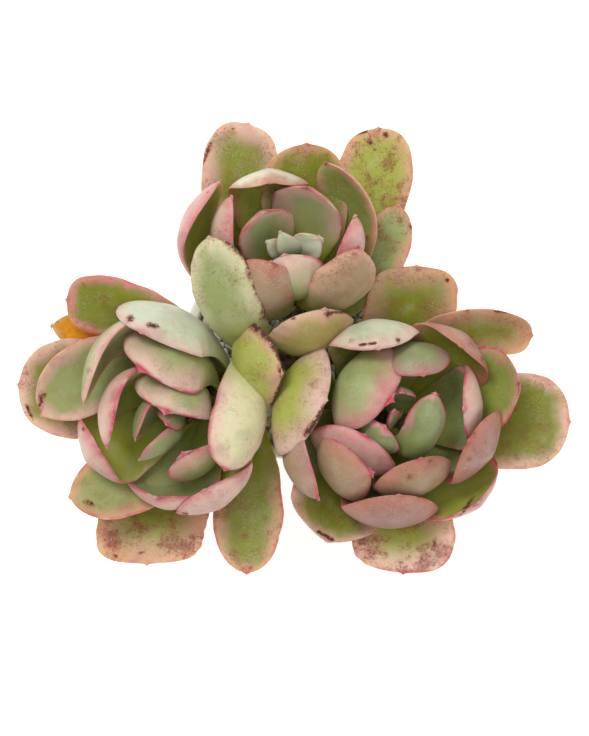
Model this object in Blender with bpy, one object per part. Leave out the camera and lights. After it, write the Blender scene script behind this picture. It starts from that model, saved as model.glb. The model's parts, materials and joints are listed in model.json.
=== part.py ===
"""A rosette succulent with three heads on one short branched stem, planted in a plain round pot.

The part stands on the pot's foot. Its origin is the centre of that foot, +Z is up, the three heads lie to the
back (+Y), the front left (-X -Y) and the front right (+X -Y). Every size below is in millimetres.
"""

import math
from dataclasses import dataclass

import bmesh
import bpy
import numpy as np
from mathutils import Vector
from mathutils.bvhtree import BVHTree

MM = 0.001

# The pot, a turned and glazed cup with drain holes round the middle of its floor.
POT_HEIGHT = 58.0
POT_RIM_RADIUS = 31.0
POT_FOOT_RADIUS = 24.0
POT_WALL = 3.2
POT_FLOOR = 4.5
POT_EDGE_ROUND = 1.1
DRAIN_HOLES = 3
DRAIN_RADIUS = 3.2
DRAIN_CIRCLE_RADIUS = 12.0
SEGMENTS = 40

# The mineral substrate that fills the pot.
GRIT_BELOW_RIM = 3.5
GRIT_DOME = 1.2

# The plant.
CLEARANCE = 0.35  # kept between any two pieces
STEM_RADIUS = 4.2
STEM_TIP_RADIUS = 2.4
STEM_DEPTH = 16.0  # planted below the substrate's surface
STEM_SIDES = 10
PLANT_SCALE = 1.0  # spread and height of the heads
LEAF_THICKNESS = 4.4
LEAF_BASE_WIDTH = 8.0
LEAF_STATIONS = (0.0, 0.2, 0.42, 0.62, 0.78, 0.89, 0.96, 0.993)
LEAF_SIDES = 8


@dataclass(frozen=True)
class Head:
    """One rosette: its crown, where the bud sits, and the way its axis leans."""

    crown: tuple  # x, y and height over the substrate
    lean: float  # degrees from upright
    lean_towards: float  # azimuth, degrees
    leafy_length: float = 13.0  # stretch of stem below the crown that carries leaves


@dataclass(frozen=True)
class Leaf:
    """One leaf, from its foot on the stem over its belly to the middle of its rim.

    turn: azimuth of its foot round the stem. node: how far up the leafy stretch the foot is, 0 to 1.
    belly: where the midrib passes just beyond half way. tip: the middle of the rim.
    faces: azimuth and elevation of what the inner face looks at. cup: how much the margins rise.
    widest: where along the leaf it is broadest. blunt: 0 for a pointed end to 1 for a round one.
    point: length of the tip's spine. foot: given only where the leaf grows on the trunk.
    """

    turn: float
    node: float
    belly: tuple
    tip: tuple
    faces: tuple
    width: float
    cup: float = 0.25
    widest: float = 0.66
    blunt: float = 0.6
    point: float = 0.8
    thick: float = 1.0
    foot: tuple = None


HEADS = {
    "back": Head(crown=(1, 24, 31), lean=45, lean_towards=90, leafy_length=24.0),
    "left": Head(crown=(-31, -19, 30), lean=50, lean_towards=212, leafy_length=24.0),
    "right": Head(crown=(31, -20, 29), lean=30, lean_towards=5, leafy_length=22.0),
}

LEAVES = {
    "back": [
        Leaf(115, 0.20, (-13.7, 46, 27), (-11.5, 61.8, 30), (275, 75), 21.5, cup=0.12, blunt=1.4),
        Leaf(85, 0.30, (4.5, 46, 33), (4.5, 55.6, 37), (262, 55), 23.5, blunt=1.2),
        Leaf(55, 0.15, (23.2, 47, 24), (24.3, 61, 27), (250, 80), 21, cup=0.10, blunt=1.3),
        Leaf(20, 0.10, (25.5, 27, 26), (29.5, 39.5, 29), (200, 70), 14.5, cup=0.10, blunt=0.8),
        Leaf(165, 0.35, (-27, 33, 35), (-19, 44.5, 44), (345, 20), 19, cup=0.30, blunt=0.8),
        Leaf(100, 0.50, (-6, 46.5, 37), (-5, 44.3, 46), (275, 12), 22.5, cup=0.25, blunt=1.3, point=0.4),
        Leaf(35, 0.40, (17.5, 37, 32), (9.5, 50, 42), (220, 40), 18, blunt=0.8),
        Leaf(65, 0.75, (5.5, 39.5, 38), (4.3, 43, 46), (245, 25), 20.5, blunt=1.0),
        Leaf(130, 0.80, (-7.5, 33.5, 38), (-7, 36.5, 45), (305, 30), 17, blunt=0.9),
        Leaf(185, 0.60, (-18.5, 29, 37), (-15.5, 40.5, 46), (10, -15), 13.5, blunt=0.3),
        Leaf(235, 0.40, (-7, 13, 37), (-5, 23.2, 46), (85, -40), 18.5, blunt=1.1),
        Leaf(320, 0.45, (12.8, 14.5, 37), (18, 27, 47), (110, -40), 18.5, blunt=0.2),
        Leaf(350, 0.55, (16.5, 25.5, 38), (17.3, 35.5, 45), (150, -20), 12, blunt=0.3),
        Leaf(275, 0.80, (1.5, 16.5, 36), (-1.5, 25.2, 44), (95, -30), 18, blunt=0.25),
        Leaf(205, 0.00, (-16.3, 10.5, 40), (-21.5, 29.8, 46), (55, -65), 18, blunt=0.8, foot=(-7, 0, 16)),
        Leaf(270, 0.10, (5.5, 1.8, 33), (9.2, 10.8, 44), (114, -35), 24, blunt=0.4),
    ],
    "left": [
        Leaf(140, 0.10, (-44, 10.5, 26), (-61, 13.8, 30), (280, 75), 17, cup=0.12, blunt=1.4, widest=0.74),
        Leaf(150, 0.00, (-50, 4, 18), (-66, 6.8, 23), (300, 80), 14.5, blunt=0.5, thick=0.5),
        Leaf(180, 0.10, (-57, -10.5, 24), (-74.5, -9.5, 28), (0, 72), 27.5, cup=0.12, blunt=1.1),
        Leaf(185, 0.30, (-57, -8.5, 31), (-66.8, -17.6, 38), (25, 55), 20, blunt=0.8),
        Leaf(140, 0.35, (-48, 3, 37), (-55, -14.3, 44), (330, 5), 16, blunt=0.5),
        Leaf(75, 0.10, (-33, 8.5, 36), (-39.5, 4.5, 47), (250, -25), 29, blunt=0.5),
        Leaf(75, 0.35, (-32, -0.7, 39), (-39.3, -5.2, 47), (245, -40), 26, blunt=0.7, point=2),
        Leaf(75, 0.60, (-30, -10.5, 39), (-33, -16.2, 46), (250, -40), 23, blunt=0.5, point=2.2),
        Leaf(350, 0.05, (-12.2, -17, 41), (-17.3, -31.8, 46), (200, -50), 17.5, blunt=0.9, foot=(-13, -3, 19)),
        Leaf(150, 0.60, (-47.7, -12.5, 38), (-48.8, -25.8, 45), (325, 10), 19, blunt=0.6),
        Leaf(300, 0.60, (-25, -31.5, 37), (-28.3, -28, 44), (124, -12), 18, blunt=0.3, point=2),
        Leaf(200, 0.50, (-54, -28.5, 33), (-51, -27, 42), (32, 25), 24, cup=0.30),
        Leaf(270, 0.50, (-33, -41, 31), (-36, -39.5, 41), (94, 30), 27, cup=0.30),
        Leaf(230, 0.32, (-46, -37, 26.5), (-60, -40, 32.5), (60, 62), 20, blunt=0.8),
        Leaf(255, 0.15, (-38, -46, 21), (-39.5, -58.8, 26), (85, 78), 30, cup=0.12, blunt=1.8, widest=0.72),
        Leaf(300, 0.35, (-19.5, -40.5, 36), (-23, -37.5, 44), (122, 0), 27, blunt=0.5),
        Leaf(290, 0.05, (-11.8, -42, 22), (-12, -61.3, 26), (95, 80), 19.5, cup=0.10, widest=0.6, blunt=0.95),
    ],
    "right": [
        Leaf(85, 0.15, (33.5, 12.5, 23), (34.8, 23, 28), (268, 62), 25, cup=0.15, blunt=1.7),
        Leaf(50, 0.10, (50, 5.5, 26), (66, 4, 31), (250, 55), 15.5, blunt=1.5),
        Leaf(105, 0.20, (22.5, 5.7, 37), (23.5, 0.2, 46), (275, -25), 25, blunt=0.7),
        Leaf(55, 0.38, (46.5, 2.5, 34), (45.5, 1, 42), (235, 32), 25, blunt=0.6),
        Leaf(15, 0.30, (58, -10, 32), (61.8, -10.5, 39), (187, 33), 23.5, blunt=1.0),
        Leaf(0, 0.15, (62, -19.3, 23), (76.7, -19.7, 28), (180, 75), 27, cup=0.10, blunt=1.2),
        Leaf(165, 0.10, (0, -12, 38), (9.6, -13.4, 46.5), (335, -30), 32, blunt=0.75),
        Leaf(150, 0.50, (16.5, -8, 37.5), (26.6, -13.2, 45), (318, -50), 26.5, blunt=1.0, point=2),
        Leaf(90, 0.55, (33.5, -1, 38), (35.5, -6.8, 45), (268, -35), 19.5, blunt=0.9),
        Leaf(5, 0.60, (49.7, -15.5, 36), (46.2, -15.8, 45), (180, 15), 23.5, cup=0.15),
        Leaf(340, 0.40, (52.5, -27.5, 36), (47.5, -24.2, 46), (153, -25), 24, blunt=0.6),
        Leaf(270, 0.90, (33, -26, 37), (38.7, -11.8, 44), (70, -40), 10.5, blunt=0.5),
        Leaf(215, 0.70, (16, -30.5, 37), (20, -22.8, 45), (67, -25), 25),
        Leaf(215, 0.45, (12, -33.5, 37.5), (21.5, -32.8, 45), (50, -45), 22.5, blunt=0.3, point=1.6),
        Leaf(275, 0.55, (33.8, -37, 37), (34.8, -29, 46), (112, -30), 22.5, blunt=0.8),
        Leaf(265, 0.20, (27.5, -45.8, 35), (29, -38.8, 45), (92, -20), 27, blunt=0.5),
        Leaf(195, 0.20, (0.8, -29.5, 36), (7.6, -39.8, 43.5), (45, -38), 20, blunt=0.25),
        Leaf(315, 0.15, (49.5, -41, 29), (50.5, -41.3, 38), (123, 38), 26.5, blunt=0.6),
        Leaf(235, 0.10, (10.5, -46, 27), (10.2, -52, 34), (52, 45), 27, blunt=0.7),
        Leaf(275, 0.05, (31, -50, 24), (31, -61, 29), (102, 65), 28.5, cup=0.15, blunt=1.6),
        Leaf(0, 0.00, (-11.5, -4.8, 36), (-2.2, -6.2, 45), (17, -35), 25.5, foot=(0.5, -10, 12), blunt=0.5),
    ],
}

# The innermost leaves of each head, still closed into a bud.
BUD_LEAVES = {
    "back": [
        Leaf(150, 1.0, (-3.5, 27.5, 38), (-6.3, 29, 42), (320, 20), 6, blunt=0.1, thick=0.7, point=0.3),
        Leaf(90, 1.0, (-0.2, 27.5, 39), (-2.7, 31.5, 44), (290, 20), 6.5, blunt=0.1, thick=0.7, point=0.3),
        Leaf(20, 1.0, (4.5, 28, 39), (8.3, 29.5, 44), (230, 20), 9, blunt=0.4, thick=0.8, point=1.2),
    ],
    "left": [
        Leaf(160, 0.9, (-38.5, -16.5, 38), (-41.3, -24, 43), (335, 10), 11, blunt=0.5, thick=0.8),
        Leaf(240, 1.0, (-32.5, -24, 38), (-40, -29.3, 43), (140, -20), 8, blunt=0.4, thick=0.8),
        Leaf(90, 1.0, (-31.5, -17.5, 37), (-33, -20, 42), (230, -20), 8, blunt=0.5, thick=0.7),
    ],
    "right": [
        Leaf(220, 1.0, (22.8, -25, 37), (25.3, -20.5, 43), (52, -25), 14, blunt=0.5, thick=0.8),
        Leaf(90, 1.0, (29.5, -12, 37), (30, -11.5, 42), (270, 0), 9, blunt=0.8, thick=0.8),
        Leaf(160, 1.0, (27.8, -19, 37), (27.7, -16.3, 42), (320, 10), 5, blunt=0.5, thick=0.6),
    ],
}


def unit(vector):
    """The vector at length 1."""
    vector = np.asarray(vector, float)
    return vector / np.linalg.norm(vector)


def direction(azimuth, elevation=0.0):
    """A unit vector from degrees round from +X and degrees above level."""
    a, e = math.radians(azimuth), math.radians(elevation)
    return np.array([math.cos(a) * math.cos(e), math.sin(a) * math.cos(e), math.sin(e)])


def square_to(vector, axis):
    """What is left of the vector square to the axis, at length 1."""
    return unit(vector - np.dot(vector, axis) * axis)


def head_axis(head):
    return direction(head.lean_towards, 90 - head.lean)


def foot_of(leaf, head):
    """Where a leaf starts: on the skin of its head's stem."""
    if leaf.foot:
        return np.array(leaf.foot, float) * PLANT_SCALE
    axis = head_axis(head)
    along = (leaf.node - 1) * head.leafy_length
    radius = STEM_TIP_RADIUS + (STEM_RADIUS - STEM_TIP_RADIUS) * (1 - leaf.node) + CLEARANCE
    centre = np.array(head.crown, float) + axis * along
    return centre * PLANT_SCALE + square_to(direction(leaf.turn), axis) * radius


def leaf_width(s, leaf):
    """Half width along the leaf: it opens from the foot on a sine and closes on a rounded end."""
    foot = LEAF_BASE_WIDTH / leaf.width
    opening = foot + (1 - foot) * np.sin(np.pi / 2 * np.clip(s / leaf.widest, 0, 1)) ** 1.3
    end = np.clip((s - leaf.widest) / (1 - leaf.widest), 0, 1)
    closing = (1 - end ** (1.5 + 1.3 * leaf.blunt)) ** (0.85 - 0.35 * leaf.blunt)
    return leaf.width / 2 * opening * closing


def leaf_thickness(s, leaf):
    """Thickness along the leaf: slimmer at the foot, fading out at the rim."""
    return LEAF_THICKNESS * leaf.thick * (0.55 + 0.45 * np.sin(np.pi * s**0.8)) * np.sqrt(1 - s**6)


def midrib_of(leaf, head, stations):
    """Points and directions at the given shares of a leaf's length, and its knee.

    The midrib is a parabola from the foot over the belly to the tip, walked at an even pace. It passes the
    belly at the share of the way that the two chords give, which keeps its bend even.
    """
    foot = foot_of(leaf, head)
    tip = np.array(leaf.tip, float) * PLANT_SCALE
    belly = np.array(leaf.belly, float) * PLANT_SCALE
    lower, upper = np.linalg.norm(belly - foot), np.linalg.norm(tip - belly)
    b = float(np.clip(lower / (lower + upper), 0.45, 0.72))
    knee = (belly - (1 - b) ** 2 * foot - b**2 * tip) / (2 * b * (1 - b))
    t = np.linspace(0, 1, 101)[:, None]
    curve = (1 - t) ** 2 * foot + 2 * t * (1 - t) * knee + t**2 * tip
    walked = np.concatenate([[0], np.cumsum(np.linalg.norm(np.diff(curve, axis=0), axis=1))])
    s = np.interp(np.array(stations) * walked[-1], walked, t[:, 0])[:, None]
    points = (1 - s) ** 2 * foot + 2 * s * (1 - s) * knee + s**2 * tip
    along = 2 * (1 - s) * (knee - foot) + 2 * s * (tip - knee)
    along /= np.linalg.norm(along, axis=1, keepdims=True)
    return points, along, knee


def leaf_rings(leaf, head):
    """The cross sections of a leaf, rings by sides by 3, and its two end points."""
    midrib, along, knee = midrib_of(leaf, head, LEAF_STATIONS)
    widest = int(np.argmin(np.abs(np.array(LEAF_STATIONS) - leaf.widest)))
    up = np.zeros_like(midrib)
    up[widest] = square_to(direction(*leaf.faces), along[widest])
    for i in range(widest + 1, len(up)):
        up[i] = square_to(up[i - 1], along[i])
    for i in range(widest - 1, -1, -1):
        up[i] = square_to(up[i + 1], along[i])
    across = np.cross(along, up)
    s = np.array(LEAF_STATIONS)[:, None]
    angle = np.linspace(0, 2 * np.pi, LEAF_SIDES, endpoint=False)
    u, v = np.cos(angle), np.sin(angle)
    half = leaf_width(s, leaf)
    thick = leaf_thickness(s, leaf)
    upper = np.where(v > 0, 0.32, 0.68)
    lens = np.sign(v) * np.abs(v) ** 1.3 * upper * thick
    rise = leaf.cup * half * u**2 * np.clip(s * 2.5, 0, 1) + lens
    points = midrib[:, None] + across[:, None] * (half * u)[..., None] + up[:, None] * rise[..., None]
    tip = np.array(leaf.tip, float) * PLANT_SCALE
    return points, foot_of(leaf, head), tip + unit(tip - knee) * leaf.point


def skinned(points, first, last):
    """A closed mesh over rings of points, with a point at each end. It is in metres."""
    sides = points.shape[1]
    mesh = bmesh.new()
    rows = [[mesh.verts.new(Vector(p) * MM) for p in ring] for ring in points]
    for lower, upper in zip(rows[:-1], rows[1:]):
        for k in range(sides):
            mesh.faces.new((lower[k], lower[(k + 1) % sides], upper[(k + 1) % sides], upper[k]))
    for row, end in ((rows[0][::-1], first), (rows[-1], last)):
        pole = mesh.verts.new(Vector(end) * MM)
        for k in range(sides):
            mesh.faces.new((row[k], row[(k + 1) % sides], pole))
    return finished(mesh)


def finished(mesh):
    """Turns a bmesh into mesh data whose faces are triangles that look out."""
    bmesh.ops.triangulate(mesh, faces=mesh.faces)
    bmesh.ops.recalc_face_normals(mesh, faces=mesh.faces)
    data = bpy.data.meshes.new("piece")
    mesh.to_mesh(data)
    mesh.free()
    return data


def turned(profile):
    """A closed mesh turned round Z from (radius, height) points that run from the axis back to it."""
    mesh = bmesh.new()
    angles = [2 * math.pi * k / SEGMENTS for k in range(SEGMENTS)]
    rows = []
    for radius, height in profile:
        if radius == 0:
            rows.append([mesh.verts.new((0, 0, height * MM))])
            continue
        rows.append([mesh.verts.new(Vector((radius * math.cos(a), radius * math.sin(a), height)) * MM)
                     for a in angles])
    for lower, upper in zip(rows[:-1], rows[1:]):
        for k in range(SEGMENTS):
            n = (k + 1) % SEGMENTS
            corners = [lower[k % len(lower)], lower[n % len(lower)], upper[n % len(upper)], upper[k % len(upper)]]
            mesh.faces.new(list(dict.fromkeys(corners)))
    return finished(mesh)


def capped_tube(path, radii):
    """A closed round tube along a path of points, with flat ends."""
    path = np.array(path, float)
    along = np.gradient(path, axis=0)
    side = np.array([1.0, 0.2, 0.0])
    angle = np.linspace(0, 2 * np.pi, STEM_SIDES, endpoint=False)[:, None]
    rings = []
    for point, way, radius in zip(path, along, radii):
        side = square_to(side, unit(way))
        other = np.cross(unit(way), side)
        rings.append(point + radius * (np.cos(angle) * side + np.sin(angle) * other))
    return skinned(np.array(rings), path[0], path[-1])


def grown(data, by):
    """A copy of a mesh with every point moved out by the given millimetres."""
    mesh = bmesh.new()
    mesh.from_mesh(data)
    mesh.normal_update()
    moves = [v.normal * by * MM for v in mesh.verts]
    for vertex, move in zip(mesh.verts, moves):
        vertex.co += move
    return finished(mesh)


def largest_body(data):
    """The mesh with only its largest connected body, and without needle triangles."""
    mesh = bmesh.new()
    mesh.from_mesh(data)
    bmesh.ops.remove_doubles(mesh, verts=mesh.verts, dist=0.0005 * MM)
    left = dict.fromkeys(mesh.faces)
    bodies = []
    while left:
        body = [left.popitem()[0]]
        for face in body:
            sides = [edge.link_faces for edge in face.edges if len(edge.link_faces) == 2]
            for other in [f for pair in sides for f in pair if f in left]:
                if other in left:
                    del left[other]
                    body.append(other)
        bodies.append(body)
    bodies.sort(key=lambda body: sum(face.calc_area() for face in body))
    spare = [face for body in bodies[:-1] for face in body]
    bmesh.ops.delete(mesh, geom=spare, context="FACES")
    return finished(mesh)


def combined(data, others, operation):
    """The mesh after one exact Boolean with each of the others in turn."""
    scene = bpy.context.scene
    body = bpy.data.objects.new("body", data)
    helpers = [body]
    for other in others:
        helper = bpy.data.objects.new("helper", other)
        helpers.append(helper)
        cut = body.modifiers.new("cut", "BOOLEAN")
        cut.operation = operation
        cut.solver = "EXACT"
        cut.use_self = operation == "DIFFERENCE"
        cut.object = helper
    for helper in helpers:
        scene.collection.objects.link(helper)
    bpy.context.view_layer.update()
    result = bpy.data.meshes.new_from_object(body.evaluated_get(bpy.context.evaluated_depsgraph_get()))
    for helper in helpers:
        bpy.data.objects.remove(helper)
    return result


def tree_of(data):
    return BVHTree.FromPolygons([v.co for v in data.vertices], [p.vertices for p in data.polygons])


def shared_volume(data, other):
    """How many cubic millimetres two closed bodies have in common."""
    mesh = bmesh.new()
    mesh.from_mesh(combined(data, [other], "INTERSECT"))
    volume = abs(mesh.calc_volume()) / MM**3
    mesh.free()
    return volume


def kept_clear(data, placed):
    """The piece cut back to the clearance from every placed piece that it would reach.

    What a first cut leaves inside another, where a rim is thin, is cut back again by more.
    """
    tree = tree_of(data)
    near = [other for other in placed if tree.overlap(tree_of(grown(other, CLEARANCE)))]
    for cut in (1.3, 2.0, 3.0):
        if not near:
            break
        cutters = [grown(other, CLEARANCE * cut) for other in near]
        data = largest_body(combined(data, cutters, "DIFFERENCE"))
        tree = tree_of(data)
        near = [other for other in near if tree.overlap(tree_of(other)) and shared_volume(data, other) > 0.005]
    return data


def leaf_body(leaf, head):
    return skinned(*leaf_rings(leaf, head))


def stem_body():
    """A short trunk that forks into the three leaning stems of the heads."""
    ground = -STEM_DEPTH
    fork = np.array([0.0, -3.0, 6.0]) * PLANT_SCALE
    trunk = capped_tube([(0, -2, ground), (0, -2.5, ground / 2), tuple(fork), tuple(fork + (0, 0, 3))],
                        [STEM_RADIUS * k for k in (0.7, 1.0, 1.15, 0.9)])
    branches = []
    for head in HEADS.values():
        axis = head_axis(head)
        crown = np.array(head.crown, float) * PLANT_SCALE
        low = crown - axis * head.leafy_length * PLANT_SCALE
        start = fork + (0, 0, -1.0)
        middle = (start + low) / 2 - (0, 0, 1.0)
        path = [start, middle, low, (low + crown) / 2, crown]
        branches.append(capped_tube(path, np.linspace(STEM_RADIUS, STEM_TIP_RADIUS, 5)))
    return largest_body(combined(trunk, branches, "UNION"))


def arc(centre, radius, start, end, steps=3):
    """Points of a rounded edge in the profile plane."""
    angles = np.radians(np.linspace(start, end, steps + 1))
    return [(centre[0] + radius * math.cos(a), centre[1] + radius * math.sin(a)) for a in angles]


def pot_body():
    """The turned cup with its drain holes."""
    edge = POT_EDGE_ROUND
    profile = [(0, 0)]
    profile += arc((POT_FOOT_RADIUS - edge, edge), edge, -90, 0)
    profile += arc((POT_RIM_RADIUS - edge, POT_HEIGHT - edge), edge, 0, 90)
    profile += arc((POT_RIM_RADIUS - POT_WALL + edge, POT_HEIGHT - edge), edge, 90, 180)
    profile += [(POT_FOOT_RADIUS - POT_WALL, POT_FLOOR), (0, POT_FLOOR)]
    holes = []
    for k in range(DRAIN_HOLES):
        a = 2 * math.pi * k / DRAIN_HOLES
        x, y = DRAIN_CIRCLE_RADIUS * math.cos(a), DRAIN_CIRCLE_RADIUS * math.sin(a)
        holes.append(capped_tube([(x, y, -POT_FLOOR), (x, y, 2 * POT_FLOOR)], [DRAIN_RADIUS] * 2))
    return largest_body(combined(turned(profile), holes, "DIFFERENCE"))


def wall_inside(height):
    """The pot's inner radius at a height."""
    share = (height - POT_FLOOR) / (POT_HEIGHT - POT_EDGE_ROUND - POT_FLOOR)
    return POT_FOOT_RADIUS - POT_WALL + share * (POT_RIM_RADIUS - POT_FOOT_RADIUS)


def grit_body(stem):
    """The fill: it follows the pot's inside at the clearance, has a domed top and takes the stem."""
    bottom, top = POT_FLOOR + CLEARANCE, POT_HEIGHT - GRIT_BELOW_RIM
    profile = [(0, bottom), (wall_inside(bottom) - 1.2 * CLEARANCE, bottom)]
    outer = wall_inside(top) - 1.2 * CLEARANCE
    profile += [(outer * k, top + GRIT_DOME * (math.cos(math.pi * k) - 1) / 4) for k in (1, 0.75, 0.5, 0.25)]
    profile += [(0, top)]
    return largest_body(combined(turned(profile), [grown(stem, CLEARANCE * 1.3)], "DIFFERENCE"))


def placed_on_grit(data):
    """The plant is drawn from the middle of the substrate's surface: this lifts it there."""
    for vertex in data.vertices:
        vertex.co.z += (POT_HEIGHT - GRIT_BELOW_RIM) * MM
    return data


def material(name, colour, roughness):
    made = bpy.data.materials.new(name)
    made.use_nodes = True
    shader = made.node_tree.nodes["Principled BSDF"]
    shader.inputs["Base Color"].default_value = (*colour, 1)
    shader.inputs["Roughness"].default_value = roughness
    shader.inputs["Metallic"].default_value = 0.0
    return made


def add(name, data, look):
    """Puts a finished piece into the scene under its own name, shaded smooth."""
    data.name = name
    data.materials.clear()
    data.materials.append(look)
    data.shade_smooth()
    data.set_sharp_from_angle(angle=math.radians(40))
    bpy.context.scene.collection.objects.link(bpy.data.objects.new(name, data))


def main():
    for old in list(bpy.data.objects):
        bpy.data.objects.remove(old)
    stem = placed_on_grit(stem_body())
    pot = pot_body()
    grit = grit_body(stem)
    add("pot", pot, material("white_glaze", (0.80, 0.79, 0.76), 0.35))
    add("grit", grit, material("pumice", (0.42, 0.38, 0.32), 0.95))
    add("stem", stem, material("bark", (0.16, 0.10, 0.06), 0.85))
    placed = [stem, grit, pot]
    for head_name, leaves in LEAVES.items():
        head = HEADS[head_name]
        green = material(f"{head_name}_leaf", (0.36, 0.42, 0.22), 0.6)
        young = [leaf_body(leaf, head) for leaf in BUD_LEAVES[head_name]]
        crown = np.array(head.crown, float) * PLANT_SCALE
        axis = head_axis(head)
        core = capped_tube([crown + axis * (CLEARANCE + k) for k in (0.2, 2.5, 5)], [3.6, 3.2, 1.6])
        bud = placed_on_grit(largest_body(combined(core, young, "UNION")))
        bud = kept_clear(bud, placed)
        add(f"{head_name}_bud", bud, material(f"{head_name}_bud", (0.45, 0.55, 0.38), 0.6))
        placed.append(bud)
        for number in range(len(leaves), 0, -1):
            body = kept_clear(placed_on_grit(leaf_body(leaves[number - 1], head)), placed)
            add(f"{head_name}_leaf_{number:02d}", body, green)
            placed.append(body)


if __name__ == "__main__":
    main()
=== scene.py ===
"""A rosette succulent with three heads in a plain white pot: its fine surfaces and finishes.

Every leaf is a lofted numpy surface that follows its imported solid, with marks for the shaders on its points:
how far along the leaf a point is, which face it is on, how far it is from the margin and how scarred it is.
Sizes are in millimetres until a mesh is made, and +Z is up from the centre of the pot's foot.
"""

from __future__ import annotations

import json
import logging
import math
from dataclasses import dataclass, field
from enum import Enum

import bpy
import numpy as np
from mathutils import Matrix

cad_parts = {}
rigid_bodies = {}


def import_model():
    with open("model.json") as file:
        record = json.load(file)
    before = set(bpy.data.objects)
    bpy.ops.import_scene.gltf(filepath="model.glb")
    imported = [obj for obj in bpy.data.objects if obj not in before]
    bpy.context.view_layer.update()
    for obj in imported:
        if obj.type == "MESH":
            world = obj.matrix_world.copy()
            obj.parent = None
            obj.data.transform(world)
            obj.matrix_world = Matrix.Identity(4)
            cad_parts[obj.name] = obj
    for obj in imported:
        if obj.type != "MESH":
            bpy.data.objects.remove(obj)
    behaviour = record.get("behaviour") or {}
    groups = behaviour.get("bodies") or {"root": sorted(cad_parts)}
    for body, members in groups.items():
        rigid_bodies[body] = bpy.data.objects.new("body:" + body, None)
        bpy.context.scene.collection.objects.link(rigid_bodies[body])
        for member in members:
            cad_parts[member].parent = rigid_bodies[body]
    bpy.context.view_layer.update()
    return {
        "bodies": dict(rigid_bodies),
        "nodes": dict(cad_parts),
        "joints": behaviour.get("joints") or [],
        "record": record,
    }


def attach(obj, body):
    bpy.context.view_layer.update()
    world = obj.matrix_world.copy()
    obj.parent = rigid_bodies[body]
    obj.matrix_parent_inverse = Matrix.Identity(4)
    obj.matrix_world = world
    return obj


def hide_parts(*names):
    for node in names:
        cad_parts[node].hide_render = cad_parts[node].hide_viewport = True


LOG = logging.getLogger("succulent")
MM = 0.001
Vec = tuple[float, float, float]


class Tone(Enum):
    """The colours of the plant and its pot in daylight, 0 to 255 in red, green and blue."""

    OLIVE = (134, 142, 18)
    LIME = (172, 178, 62)
    LEAF_GREEN = (140, 154, 58)
    SAGE = (160, 170, 104)
    GLAUCOUS = (134, 146, 84)
    MINT = (206, 214, 180)
    IVORY = (226, 222, 198)
    CREAM = (230, 222, 176)
    PEACH = (214, 168, 136)
    SALMON = (190, 122, 98)
    ROSE = (222, 148, 144)
    BLUSH = (230, 190, 174)
    MAUVE = (176, 128, 116)
    TAUPE = (176, 144, 108)
    OCHRE = (168, 150, 62)
    MAGENTA = (206, 60, 92)
    FRECKLE = (138, 62, 42)
    RUST = (146, 62, 44)
    FOOT_GREEN = (150, 158, 12)
    CORK = (62, 28, 26)
    WAX = (228, 228, 208)
    AMBER = (224, 160, 2)
    STRAW = (206, 160, 110)
    BARK = (72, 48, 36)
    BARK_LIGHT = (132, 104, 82)
    PUMICE = (222, 216, 204)
    PUMICE_GREY = (184, 178, 168)
    LAVA = (122, 92, 76)
    SOIL = (168, 158, 142)
    GLAZE = (238, 236, 230)
    GLAZE_WARM = (224, 216, 202)
    FLOOR = (250, 250, 250)

    @property
    def linear(self) -> tuple[float, float, float, float]:
        """The tone as a scene-linear colour."""
        shares = [v / 255 for v in self.value]
        return tuple(c / 12.92 if c <= 0.04045 else ((c + 0.055) / 1.055) ** 2.4 for c in shares) + (1.0,)


# ---------------------------------------------------------------- meshes


@dataclass
class Shell:
    """A surface before it is a mesh: points in millimetres, faces, and one value a point for each mark."""

    points: np.ndarray
    faces: list[list[int]]
    marks: dict[str, np.ndarray] = field(default_factory=dict)

    def joined(self, other: Shell) -> Shell:
        """Both shells as one."""
        shift = len(self.points)
        faces = self.faces + [[i + shift for i in face] for face in other.faces]
        marks = {key: np.concatenate([value, other.marks[key]]) for key, value in self.marks.items()}
        return Shell(np.concatenate([self.points, other.points]), faces, marks)

    def piece(self, name: str, finish: bpy.types.Material) -> bpy.types.Object:
        """Puts the shell into the scene as a smooth shaded object.

        Args:
            name: the object's name.
            finish: its material.

        Returns:
            The object, at the origin, with its place in its mesh.
        """
        data = bpy.data.meshes.new(name)
        data.from_pydata((self.points * MM).tolist(), [], self.faces)
        for key, values in self.marks.items():
            data.attributes.new(key, "FLOAT", "POINT").data.foreach_set("value", values.astype(np.float32))
        data.materials.append(finish)
        data.shade_smooth()
        data.update()
        made = bpy.data.objects.new(name, data)
        bpy.context.scene.collection.objects.link(made)
        return made


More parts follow.
